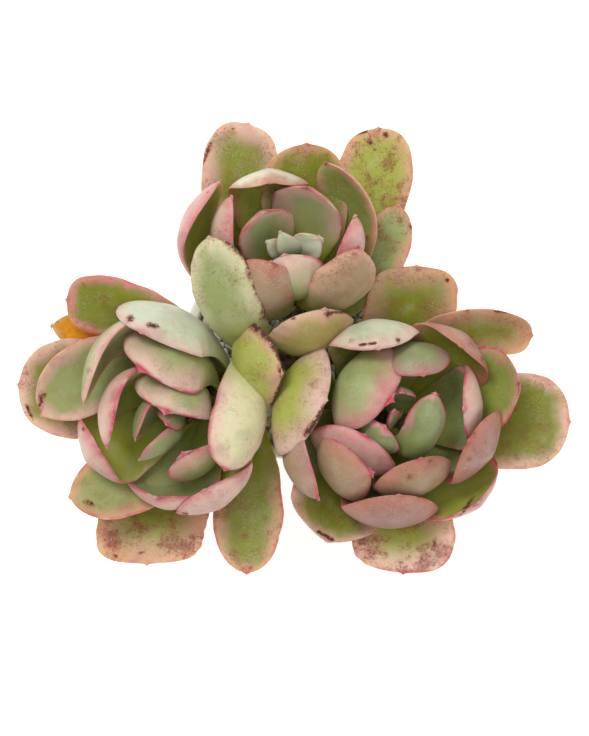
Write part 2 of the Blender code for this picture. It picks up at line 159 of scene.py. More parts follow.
def loft(
    rings: np.ndarray, first: np.ndarray, last: np.ndarray, marks: dict[str, np.ndarray] | None = None
) -> Shell:
    """Closes a tube of rings with a point at each end, faces out.

    Ring i and ring i + 1 are joined by one quad a side, and each end by a fan. The sum of every face's corner
    triple product is six times the volume, so a negative sum turns all faces round.

    Args:
        rings: rings by sides by 3.
        first: the end point before the first ring.
        last: the end point after the last ring.
        marks: values by ring and side; an end point takes its ring's mean.

    Returns:
        The shell.
    """
    count, sides = rings.shape[:2]
    index = np.arange(count * sides).reshape(count, sides)
    beside = np.roll(index, -1, axis=1)
    quads = np.stack([index[:-1], beside[:-1], beside[1:], index[1:]], axis=-1).reshape(-1, 4)
    start, end = count * sides, count * sides + 1
    fans = np.concatenate([
        np.stack([beside[0], index[0], np.full(sides, start)], axis=-1),
        np.stack([index[-1], beside[-1], np.full(sides, end)], axis=-1),
    ])
    points = np.concatenate([rings.reshape(-1, 3), [first], [last]])
    corners = points[quads]
    volume = np.einsum("ij,ij->i", corners[:, 0], np.cross(corners[:, 1], corners[:, 2])).sum()
    volume += np.einsum("ij,ij->i", corners[:, 0], np.cross(corners[:, 2], corners[:, 3])).sum()
    if volume < 0:
        quads, fans = quads[:, ::-1], fans[:, ::-1]
    kept = {key: np.concatenate([value.ravel(), [value[0].mean()], [value[-1].mean()]])
            for key, value in (marks or {}).items()}
    return Shell(points, quads.tolist() + fans.tolist(), kept)


def unit(vector: np.ndarray) -> np.ndarray:
    """The vector at length 1."""
    return np.asarray(vector, float) / np.linalg.norm(vector)


def direction(azimuth: float, elevation: float = 0.0) -> np.ndarray:
    """A unit vector from degrees round from +X and degrees above level."""
    a, e = math.radians(azimuth), math.radians(elevation)
    return np.array([math.cos(a) * math.cos(e), math.sin(a) * math.cos(e), math.sin(e)])


def square_to(vector: np.ndarray, axis: np.ndarray) -> np.ndarray:
    """What is left of the vector square to the axis, at length 1."""
    return unit(vector - np.dot(vector, axis) * axis)


def smooth(low: float, high: float, value: np.ndarray) -> np.ndarray:
    """An S curve from 0 at low to 1 at high: 3t squared less 2t cubed."""
    t = np.clip((value - low) / (high - low), 0, 1)
    return t * t * (3 - 2 * t)


def ripple(seed: int, *axes: np.ndarray) -> np.ndarray:
    """Soft seeded unevenness, about -1 to 1: six sines whose waves cross the axes at seeded rates."""
    rng = np.random.default_rng(seed)
    total = 0.0
    for _ in range(6):
        rates = rng.uniform(-1, 1, len(axes))
        turns = sum(rate * axis for rate, axis in zip(rates, axes))
        total = total + np.sin(turns * 2 * np.pi + rng.uniform(0, 2 * np.pi))
    return total / 3.5


# ---------------------------------------------------------------- shaders


class Bench:
    """Lays and joins nodes in one tree."""

    def __init__(self, tree: bpy.types.NodeTree) -> None:
        """Works in the given tree."""
        self.tree = tree

    def feed(self, node: bpy.types.Node, inputs: dict) -> None:
        """Sets a node's inputs: a socket is joined, and a tone or a number is a fixed value."""
        for key, value in inputs.items():
            if isinstance(value, bpy.types.NodeSocket):
                self.tree.links.new(value, node.inputs[key])
            else:
                node.inputs[key].default_value = value.linear if isinstance(value, Tone) else value

    def lay(self, kind: str, inputs: dict | None = None, **settings: object) -> bpy.types.Node:
        """Adds a node.

        Args:
            kind: the node's type name.
            inputs: values, or sockets to join, by input name or number.
            settings: attributes of the node.

        Returns:
            The node.
        """
        node = self.tree.nodes.new(kind)
        for key, value in settings.items():
            setattr(node, key, value)
        self.feed(node, inputs or {})
        return node

    def math(self, operation: str, a: object, b: object = 0.0) -> bpy.types.NodeSocket:
        """One arithmetic step."""
        return self.lay("ShaderNodeMath", {0: a, 1: b}, operation=operation).outputs[0]

    def between(self, value: object, low: object, high: object) -> bpy.types.NodeSocket:
        """A smooth step from 0 at low to 1 at high."""
        inputs = {"Value": value, "From Min": low, "From Max": high}
        return self.lay("ShaderNodeMapRange", inputs, interpolation_type="SMOOTHSTEP").outputs[0]

    def spread(self, value: object, low: float, high: float) -> bpy.types.NodeSocket:
        """Spreads 0 to 1 over the range low to high."""
        inputs = {"Value": value, "To Min": low, "To Max": high}
        return self.lay("ShaderNodeMapRange", inputs).outputs[0]

    def mix(self, share: object, a: object, b: object, blend: str = "MIX") -> bpy.types.NodeSocket:
        """Colour b over colour a by a share."""
        node = self.lay("ShaderNodeMix", {0: share, 6: a, 7: b}, data_type="RGBA", blend_type=blend)
        return node.outputs[2]

    def noise(self, scale: float, detail: float = 3.0, roughness: float = 0.5) -> bpy.types.NodeSocket:
        """Noise on object coordinates; the scale is in waves a metre."""
        place = self.lay("ShaderNodeTexCoord").outputs["Object"]
        inputs = {"Vector": place, "Scale": scale, "Detail": detail, "Roughness": roughness}
        return self.lay("ShaderNodeTexNoise", inputs).outputs["Fac"]

    def mark(self, name: str) -> bpy.types.NodeSocket:
        """A point mark of the mesh."""
        return self.lay("ShaderNodeAttribute", attribute_name=name).outputs["Fac"]

    def use(self, group: bpy.types.NodeTree, inputs: dict | None = None) -> bpy.types.Node:
        """Places a shader group with its own values."""
        return self.lay("ShaderNodeGroup", inputs, node_tree=group)


class ShaderGroups:
    """The effects that several finishes share, each built once."""

    def __init__(self) -> None:
        """Builds every group."""
        self.tint = self.leaf_tint()
        self.freckles = self.freckle_masks()
        self.bloom = self.wax_bloom()
        self.scar = self.scar_tissue()
        self.relief = self.fine_relief()
        self.mottle = self.soft_mottle()

    @staticmethod
    def group(
        name: str, inputs: dict[str, object], outputs: dict[str, str]
    ) -> tuple[bpy.types.NodeTree, Bench, object, object]:
        """Starts a group.

        Args:
            name: its name.
            inputs: default values by input name; a Tone makes a colour input.
            outputs: socket kinds by output name.

        Returns:
            The tree, its bench, the node that gives the inputs and the node that takes the outputs.
        """
        tree = bpy.data.node_groups.new(name, "ShaderNodeTree")
        for key, value in inputs.items():
            kind = "NodeSocketColor" if isinstance(value, Tone) else "NodeSocketFloat"
            socket = tree.interface.new_socket(key, in_out="INPUT", socket_type=kind)
            socket.default_value = value.linear if isinstance(value, Tone) else value
        for key, kind in outputs.items():
            tree.interface.new_socket(key, in_out="OUTPUT", socket_type=kind)
        given, taken = tree.nodes.new("NodeGroupInput"), tree.nodes.new("NodeGroupOutput")
        return tree, Bench(tree), given.outputs, taken.inputs

    def leaf_tint(self) -> bpy.types.NodeTree:
        """A leaf's ground colour.

        Each face runs from its middle tone to its margin tone and turns green at the foot, and a coloured
        line follows the rim.
        """
        tones = {"Inner": Tone.OLIVE, "Margin": Tone.PEACH, "Outer": Tone.SAGE, "Blush": Tone.ROSE}
        sizes = {"Margin Width": 4.0, "Blush Width": 5.0, "Rim": 0.6}
        tree, bench, given, taken = self.group("leaf tint", {**tones, **sizes}, {"Color": "NodeSocketColor"})
        edge, along, face = bench.mark("edge"), bench.mark("along"), bench.mark("inner")
        drift = bench.math("MULTIPLY", bench.math("SUBTRACT", bench.noise(150, 5, 0.6), 0.5), 10.0)
        uneven = bench.math("ADD", edge, drift)
        reach = bench.between(along, 0.2, 0.62)
        sides = []
        for middle, margin, width in (("Inner", "Margin", "Margin Width"), ("Outer", "Blush", "Blush Width")):
            near = bench.between(uneven, bench.math("MULTIPLY", given[width], 1.25), 0.0)
            near = bench.math("MULTIPLY", near, reach)
            sides.append(bench.mix(near, given[middle], given[margin]))
        ground = bench.mix(face, sides[1], sides[0])
        foot = bench.math("MULTIPLY", bench.between(along, 0.62, 0.15), 0.8)
        ground = bench.mix(foot, ground, Tone.FOOT_GREEN)
        line = bench.between(bench.math("ADD", edge, bench.math("MULTIPLY", drift, 0.08)), 1.25, 0.12)
        uneven_line = bench.between(bench.noise(200, 2), 0.34, 0.56)
        line = bench.math("MULTIPLY", line, bench.math("MULTIPLY", uneven_line, given["Rim"]))
        line = bench.math("MULTIPLY", line, bench.between(along, 0.3, 0.7))
        tree.links.new(bench.mix(line, ground, Tone.MAGENTA), taken["Color"])
        return tree

    def freckle_masks(self) -> bpy.types.NodeTree:
        """Fine brown stipple that gathers in clouds near the tip, and soft larger blotches."""
        outputs = {"Stipple": "NodeSocketFloat", "Blotch": "NodeSocketFloat"}
        tree, bench, given, taken = self.group("freckles", {"Stipple": 0.3, "Blotches": 0.1}, outputs)
        reach = bench.between(bench.mark("along"), 0.3, 0.75)
        cloud = bench.between(bench.noise(170, 4, 0.62), 0.40, 0.60)
        fine = bench.between(bench.noise(1400, 3, 0.7), 0.50, 0.64)
        place = bench.lay("ShaderNodeTexCoord").outputs["Object"]
        cells = bench.lay("ShaderNodeTexVoronoi", {"Vector": place, "Scale": 900.0, "Randomness": 1.0})
        chance = bench.lay("ShaderNodeSeparateColor", {0: cells.outputs["Color"]}).outputs[0]
        chosen = bench.between(chance, 0.8, 0.95)
        dots = bench.math("MULTIPLY", bench.between(cells.outputs["Distance"], 0.4, 0.1), chosen)
        dots = bench.math("MULTIPLY", dots, bench.spread(cloud, 0.25, 1.0))
        stipple = bench.math("MAXIMUM", bench.math("MULTIPLY", fine, cloud), dots)
        stipple = bench.math("MULTIPLY", bench.math("MULTIPLY", stipple, reach), given["Stipple"])
        tree.links.new(stipple, taken["Stipple"])
        blotch = bench.math("MULTIPLY", bench.between(bench.noise(170, 6, 0.72), 0.47, 0.66), reach)
        tree.links.new(bench.math("MULTIPLY", blotch, given["Blotches"]), taken["Blotch"])
        return tree

    def wax_bloom(self) -> bpy.types.NodeTree:
        """The powdery wax: even, rubbed thin in streaks and broken by fine grain."""
        tree, bench, given, taken = self.group("wax bloom", {"Amount": 0.3}, {"Mask": "NodeSocketFloat"})
        rubbed = bench.spread(bench.between(bench.noise(95, 4, 0.55), 0.34, 0.66), 0.25, 1.0)
        grain = bench.spread(bench.noise(1400, 2), 0.7, 1.15)
        mask = bench.math("MULTIPLY", bench.math("MULTIPLY", rubbed, grain), given["Amount"])
        tree.links.new(mask, taken["Mask"])
        return tree

    def scar_tissue(self) -> bpy.types.NodeTree:
        """Ragged masks of the point mark scar: a rusty halo and a corky core."""
        outputs = {"Rust": "NodeSocketFloat", "Cork": "NodeSocketFloat"}
        tree, bench, _, taken = self.group("scar tissue", {}, outputs)
        ragged = bench.math("MULTIPLY", bench.math("SUBTRACT", bench.noise(800, 5, 0.75), 0.5), 4.0)
        scar = bench.math("ADD", bench.mark("scar"), bench.math("MULTIPLY", ragged, bench.mark("scar")))
        tree.links.new(bench.between(scar, 0.1, 0.6), taken["Rust"])
        tree.links.new(bench.between(scar, 0.5, 0.78), taken["Cork"])
        return tree

    def fine_relief(self) -> bpy.types.NodeTree:
        """A height from grain of one size over grain of another."""
        inputs = {"Coarse": 0.5, "Fine": 0.5}
        tree, bench, given, taken = self.group("fine relief", inputs, {"Height": "NodeSocketFloat"})
        coarse = bench.math("MULTIPLY", bench.noise(320, 4), given["Coarse"])
        fine = bench.math("MULTIPLY", bench.noise(2600, 2), given["Fine"])
        tree.links.new(bench.math("ADD", coarse, fine), taken["Height"])
        return tree

    def soft_mottle(self) -> bpy.types.NodeTree:
        """Lightens and darkens a colour in soft clouds."""
        inputs = {"Color": Tone.SAGE, "Amount": 0.2, "Scale": 140.0}
        tree, bench, given, taken = self.group("soft mottle", inputs, {"Color": "NodeSocketColor"})
        place = bench.lay("ShaderNodeTexCoord").outputs["Object"]
        clouds = {"Vector": place, "Scale": given["Scale"], "Detail": 4.0}
        cloud = bench.lay("ShaderNodeTexNoise", clouds).outputs["Fac"]
        shade = bench.math("MULTIPLY", bench.between(cloud, 0.5, 0.28), given["Amount"])
        half = bench.math("MULTIPLY", given["Amount"], 0.5)
        light = bench.math("MULTIPLY", bench.between(cloud, 0.5, 0.8), half)
        dark = bench.mix(shade, given["Color"], (0.02, 0.02, 0.01, 1))
        tree.links.new(bench.mix(light, dark, (1, 1, 0.95, 1)), taken["Color"])
        return tree

    def mottled(self, bench: Bench, colour: object, amount: float, scale: float) -> bpy.types.NodeSocket:
        """The colour in soft clouds, from the soft mottle group."""
        return bench.use(self.mottle, {"Color": colour, "Amount": amount, "Scale": scale}).outputs["Color"]

    def rough_skin(
        self, bench: Bench, grain: tuple[float, float], strength: float, depth: float, more: object = None
    ) -> bpy.types.NodeSocket:
        """A normal from the fine relief.

        Args:
            bench: where the nodes are laid.
            grain: the shares of coarse and fine grain.
            strength: how much of the bump shows.
            depth: its height in millimetres.
            more: a height to add to the relief.

        Returns:
            The normal.
        """
        height = bench.use(self.relief, {"Coarse": grain[0], "Fine": grain[1]}).outputs["Height"]
        if more is not None:
            height = bench.math("ADD", height, more)
        bump = bench.lay("ShaderNodeBump", {"Strength": strength, "Distance": depth * MM, "Height": height})
        return bump.outputs[0]


def new_material(name: str) -> tuple[bpy.types.Material, Bench, bpy.types.Node]:
    """A material with its bench and its Principled shader."""
    made = bpy.data.materials.new(name)
    made.use_nodes = True
    return made, Bench(made.node_tree), made.node_tree.nodes["Principled BSDF"]


@dataclass(frozen=True)
class Scar:
    """A healed wound, seen from above: a spot, or a stroke that ends at to.

    depth runs from a faint rusty stain at 0.4 to black cork at 1.
    """

    x: float
    y: float
    radius: float
    depth: float = 1.0
    to: tuple[float, float] | None = None

    def strength(self, points: np.ndarray) -> np.ndarray:
        """The scar's strength at points: it falls as a bell with the distance to the stroke."""
        start = np.array([self.x, self.y])
        way = np.array(self.to or (self.x, self.y)) - start
        gap = points[..., :2] - start
        share = np.clip((gap @ way) / max(float(way @ way), 1e-9), 0, 1)
        away = np.linalg.norm(gap - share[..., None] * way, axis=-1)
        return self.depth * np.exp(-((away / self.radius) ** 2) * 0.8)


@dataclass(frozen=True)
class RimScar:
    """A corky stretch of margin between two shares of the leaf's length.

    side is 1 for the margin on the positive side of the midrib and -1 for the other. depth is as in a Scar.
    """

    side: int
    start: float
    end: float
    width: float = 0.9
    depth: float = 1.0

    def strength(self, along: np.ndarray, across: np.ndarray, edge: np.ndarray) -> np.ndarray:
        """Falls as a bell with the distance to the margin, and fades at both ends of the stretch."""
        reach = smooth(self.start - 0.05, self.start + 0.04, along)
        reach = reach * smooth(self.end + 0.05, self.end - 0.04, along)
        width = self.width * (0.8 + 0.5 * ripple(self.side + 5, along * 7.0))
        return self.depth * reach * (across * self.side > 0) * np.exp(-((edge / width) ** 2) * 0.8)


@dataclass(frozen=True)
class LeafFinish:
    """The colours and marks of one leaf: its inner face, its outer face, and what time did to them."""

    inner: Tone = Tone.OLIVE
    margin: Tone = Tone.PEACH
    outer: Tone = Tone.SAGE
    blush: Tone = Tone.ROSE
    rim: float = 0.5
    freckles: float = 0.25
    blotches: float = 0.1
    margin_width: float = 4.0
    blush_width: float = 5.0
    bloom: float = 0.10
    scars: tuple[Scar | RimScar, ...] = ()

    def material(self, name: str, groups: ShaderGroups) -> bpy.types.Material:
        """The leaf's waxy skin over its own tones."""
        made, bench, shader = new_material(name)
        sizes = {"Margin Width": self.margin_width, "Blush Width": self.blush_width, "Rim": self.rim}
        tones = {"Inner": self.inner, "Margin": self.margin, "Outer": self.outer, "Blush": self.blush}
        colour = bench.use(groups.tint, {**tones, **sizes}).outputs["Color"]
        colour = groups.mottled(bench, colour, 0.2, 150.0)
        bloom = bench.use(groups.bloom, {"Amount": self.bloom}).outputs["Mask"]
        bloom = bench.math("MULTIPLY", bloom, bench.spread(bench.mark("inner"), 1.0, 0.4))
        colour = bench.mix(bloom, colour, Tone.WAX)
        grain = bench.math("MULTIPLY", bench.between(bench.noise(2100, 2), 0.5, 0.68), 0.18)
        powder = bench.math("MULTIPLY", grain, bench.between(bench.noise(120, 3), 0.48, 0.62))
        colour = bench.mix(powder, colour, Tone.WAX)
        marks = bench.use(groups.freckles, {"Stipple": self.freckles, "Blotches": self.blotches}).outputs
        colour = bench.mix(bench.math("MULTIPLY", marks["Blotch"], 0.7), colour, Tone.RUST)
        colour = bench.mix(bench.math("MULTIPLY", marks["Stipple"], 0.85), colour, Tone.FRECKLE)
        scar = bench.use(groups.scar).outputs
        colour = bench.mix(bench.math("MULTIPLY", scar["Rust"], 0.75), colour, Tone.RUST)
        colour = bench.mix(bench.math("MULTIPLY", scar["Cork"], 0.9), colour, Tone.CORK)
        cork = bench.math("MULTIPLY", scar["Cork"], bench.noise(1500, 3))
        rough = bench.math("ADD", bench.spread(bloom, 0.44, 0.75), bench.math("MULTIPLY", scar["Cork"], 0.2))
        bench.feed(shader, {
            "Base Color": colour,
            "Roughness": rough,
            "Normal": groups.rough_skin(bench, (0.9, 0.25), 0.35, 0.4, cork),
            "Subsurface Weight": 0.4,
            "Subsurface Radius": (1.0, 0.75, 0.3),
            "Subsurface Scale": 3.0 * MM,
            "Sheen Weight": 0.06,
            "Sheen Roughness": 0.6,
            "Specular IOR Level": 0.38,
        })
        return made


# ---------------------------------------------------------------- the plant


@dataclass(frozen=True)
class Head:
    """One rosette: its crown, where the bud sits, and the way its axis leans."""

    crown: Vec
    lean: float
    lean_towards: float
    leafy_length: float

    @property
    def axis(self) -> np.ndarray:
        """The way the head's stem points."""
        return direction(self.lean_towards, 90 - self.lean)


@dataclass(frozen=True)
class Leaf:
    """One leaf, from its foot on the stem over its belly to the middle of its rim.

    turn: azimuth of its foot round the stem. node: how far up the leafy stretch the foot is, 0 to 1.
    belly: where the midrib passes just beyond half way. tip: the middle of the rim.
    faces: azimuth and elevation of what the inner face looks at. cup: how much the margins rise.
    widest: where along the leaf it is broadest. blunt: 0 for a pointed end to 1 for a round one.
    point: length of the tip's spine. foot: given only where the leaf grows on the trunk.
    """

    turn: float
    node: float
    belly: Vec
    tip: Vec
    faces: tuple[float, float]
    width: float
    cup: float = 0.25
    widest: float = 0.66
    blunt: float = 0.6
    point: float = 0.8
    thick: float = 1.0
    foot: Vec | None = None


HEADS = {
    "back": Head(crown=(1, 24, 31), lean=45, lean_towards=90, leafy_length=24.0),
    "left": Head(crown=(-31, -19, 30), lean=50, lean_towards=212, leafy_length=24.0),
    "right": Head(crown=(31, -20, 29), lean=30, lean_towards=5, leafy_length=22.0),
}

LEAVES = {
    "back": [
        Leaf(115, 0.20, (-13.7, 46, 27), (-11.5, 61.8, 30), (275, 75), 21.5, cup=0.12, blunt=1.4),
        Leaf(85, 0.30, (4.5, 46, 33), (4.5, 55.6, 37), (262, 55), 23.5, blunt=1.2),
        Leaf(55, 0.15, (23.2, 47, 24), (24.3, 61, 27), (250, 80), 21, cup=0.10, blunt=1.3),
        Leaf(20, 0.10, (25.5, 27, 26), (29.5, 39.5, 29), (200, 70), 14.5, cup=0.10, blunt=0.8),
        Leaf(165, 0.35, (-27, 33, 35), (-19, 44.5, 44), (345, 20), 19, cup=0.30, blunt=0.8),
        Leaf(100, 0.50, (-6, 46.5, 37), (-5, 44.3, 46), (275, 12), 22.5, cup=0.25, blunt=1.3, point=0.4),
        Leaf(35, 0.40, (17.5, 37, 32), (9.5, 50, 42), (220, 40), 18, blunt=0.8),
        Leaf(65, 0.75, (5.5, 39.5, 38), (4.3, 43, 46), (245, 25), 20.5, blunt=1.0),
        Leaf(130, 0.80, (-7.5, 33.5, 38), (-7, 36.5, 45), (305, 30), 17, blunt=0.9),
        Leaf(185, 0.60, (-18.5, 29, 37), (-15.5, 40.5, 46), (10, -15), 13.5, blunt=0.3),
        Leaf(235, 0.40, (-7, 13, 37), (-5, 23.2, 46), (85, -40), 18.5, blunt=1.1),
        Leaf(320, 0.45, (12.8, 14.5, 37), (18, 27, 47), (110, -40), 18.5, blunt=0.2),
        Leaf(350, 0.55, (16.5, 25.5, 38), (17.3, 35.5, 45), (150, -20), 12, blunt=0.3),
        Leaf(275, 0.80, (1.5, 16.5, 36), (-1.5, 25.2, 44), (95, -30), 18, blunt=0.25),
        Leaf(205, 0.00, (-16.3, 10.5, 40), (-21.5, 29.8, 46), (55, -65), 18, blunt=0.8, foot=(-7, 0, 16)),
        Leaf(270, 0.10, (5.5, 1.8, 33), (9.2, 10.8, 44), (114, -35), 24, blunt=0.4),
    ],
    "left": [
        Leaf(140, 0.10, (-44, 10.5, 26), (-61, 13.8, 30), (280, 75), 17, cup=0.12, blunt=1.4, widest=0.74),
        Leaf(150, 0.00, (-50, 4, 18), (-66, 6.8, 23), (300, 80), 14.5, blunt=0.5, thick=0.5),
        Leaf(180, 0.10, (-57, -10.5, 24), (-74.5, -9.5, 28), (0, 72), 27.5, cup=0.12, blunt=1.1),
        Leaf(185, 0.30, (-57, -8.5, 31), (-66.8, -17.6, 38), (25, 55), 20, blunt=0.8),
        Leaf(140, 0.35, (-48, 3, 37), (-55, -14.3, 44), (330, 5), 16, blunt=0.5),
        Leaf(75, 0.10, (-33, 8.5, 36), (-39.5, 4.5, 47), (250, -25), 29, blunt=0.5),
        Leaf(75, 0.35, (-32, -0.7, 39), (-39.3, -5.2, 47), (245, -40), 26, blunt=0.7, point=2),
        Leaf(75, 0.60, (-30, -10.5, 39), (-33, -16.2, 46), (250, -40), 23, blunt=0.5, point=2.2),
        Leaf(350, 0.05, (-12.2, -17, 41), (-17.3, -31.8, 46), (200, -50), 17.5, blunt=0.9,
             foot=(-13, -3, 19)),
        Leaf(150, 0.60, (-47.7, -12.5, 38), (-48.8, -25.8, 45), (325, 10), 19, blunt=0.6),
        Leaf(300, 0.60, (-25, -31.5, 37), (-28.3, -28, 44), (124, -12), 18, blunt=0.3, point=2),
        Leaf(200, 0.50, (-54, -28.5, 33), (-51, -27, 42), (32, 25), 24, cup=0.30),
        Leaf(270, 0.50, (-33, -41, 31), (-36, -39.5, 41), (94, 30), 27, cup=0.30),
        Leaf(230, 0.32, (-46, -37, 26.5), (-60, -40, 32.5), (60, 62), 20, blunt=0.8),
        Leaf(255, 0.15, (-38, -46, 21), (-39.5, -58.8, 26), (85, 78), 30, cup=0.12, blunt=1.8, widest=0.72),
        Leaf(300, 0.35, (-19.5, -40.5, 36), (-23, -37.5, 44), (122, 0), 27, blunt=0.5),
        Leaf(290, 0.05, (-11.8, -42, 22), (-12, -61.3, 26), (95, 80), 19.5, cup=0.10, widest=0.6, blunt=0.95),
    ],
    "right": [
        Leaf(85, 0.15, (33.5, 12.5, 23), (34.8, 23, 28), (268, 62), 25, cup=0.15, blunt=1.7),
        Leaf(50, 0.10, (50, 5.5, 26), (66, 4, 31), (250, 55), 15.5, blunt=1.5),
        Leaf(105, 0.20, (22.5, 5.7, 37), (23.5, 0.2, 46), (275, -25), 25, blunt=0.7),
        Leaf(55, 0.38, (46.5, 2.5, 34), (45.5, 1, 42), (235, 32), 25, blunt=0.6),
        Leaf(15, 0.30, (58, -10, 32), (61.8, -10.5, 39), (187, 33), 23.5, blunt=1.0),
        Leaf(0, 0.15, (62, -19.3, 23), (76.7, -19.7, 28), (180, 75), 27, cup=0.10, blunt=1.2),
        Leaf(165, 0.10, (0, -12, 38), (9.6, -13.4, 46.5), (335, -30), 32, blunt=0.75),
        Leaf(150, 0.50, (16.5, -8, 37.5), (26.6, -13.2, 45), (318, -50), 26.5, blunt=1.0, point=2),
        Leaf(90, 0.55, (33.5, -1, 38), (35.5, -6.8, 45), (268, -35), 19.5, blunt=0.9),
        Leaf(5, 0.60, (49.7, -15.5, 36), (46.2, -15.8, 45), (180, 15), 23.5, cup=0.15),
        Leaf(340, 0.40, (52.5, -27.5, 36), (47.5, -24.2, 46), (153, -25), 24, blunt=0.6),
        Leaf(270, 0.90, (33, -26, 37), (38.7, -11.8, 44), (70, -40), 10.5, blunt=0.5),
        Leaf(215, 0.70, (16, -30.5, 37), (20, -22.8, 45), (67, -25), 25),
        Leaf(215, 0.45, (12, -33.5, 37.5), (21.5, -32.8, 45), (50, -45), 22.5, blunt=0.3, point=1.6),
        Leaf(275, 0.55, (33.8, -37, 37), (34.8, -29, 46), (112, -30), 22.5, blunt=0.8),
        Leaf(265, 0.20, (27.5, -45.8, 35), (29, -38.8, 45), (92, -20), 27, blunt=0.5),
        Leaf(195, 0.20, (0.8, -29.5, 36), (7.6, -39.8, 43.5), (45, -38), 20, blunt=0.25),
        Leaf(315, 0.15, (49.5, -41, 29), (50.5, -41.3, 38), (123, 38), 26.5, blunt=0.6),
        Leaf(235, 0.10, (10.5, -46, 27), (10.2, -52, 34), (52, 45), 27, blunt=0.7),
        Leaf(275, 0.05, (31, -50, 24), (31, -61, 29), (102, 65), 28.5, cup=0.15, blunt=1.6),
        Leaf(0, 0.00, (-11.5, -4.8, 36), (-2.2, -6.2, 45), (17, -35), 25.5, foot=(0.5, -10, 12), blunt=0.5),
    ],
}

# The innermost leaves of each head, still closed into a bud.
BUD_LEAVES = {
    "back": [
        Leaf(150, 1.0, (-3.5, 27.5, 38), (-6.3, 29, 42), (320, 20), 6, blunt=0.1, thick=0.7, point=0.3),
        Leaf(90, 1.0, (-0.2, 27.5, 39), (-2.7, 31.5, 44), (290, 20), 6.5, blunt=0.1, thick=0.7, point=0.3),
        Leaf(20, 1.0, (4.5, 28, 39), (8.3, 29.5, 44), (230, 20), 9, blunt=0.4, thick=0.8, point=1.2),
    ],
    "left": [
        Leaf(160, 0.9, (-38.5, -16.5, 38), (-41.3, -24, 43), (335, 10), 11, blunt=0.5, thick=0.8),
        Leaf(240, 1.0, (-32.5, -24, 38), (-40, -29.3, 43), (140, -20), 8, blunt=0.4, thick=0.8),
        Leaf(90, 1.0, (-31.5, -17.5, 37), (-33, -20, 42), (230, -20), 8, blunt=0.5, thick=0.7),
    ],
    "right": [
        Leaf(220, 1.0, (22.8, -25, 37), (25.3, -20.5, 43), (52, -25), 14, blunt=0.5, thick=0.8),
        Leaf(90, 1.0, (29.5, -12, 37), (30, -11.5, 42), (270, 0), 9, blunt=0.8, thick=0.8),
        Leaf(160, 1.0, (27.8, -19, 37), (27.7, -16.3, 42), (320, 10), 5, blunt=0.5, thick=0.6),
    ],
}

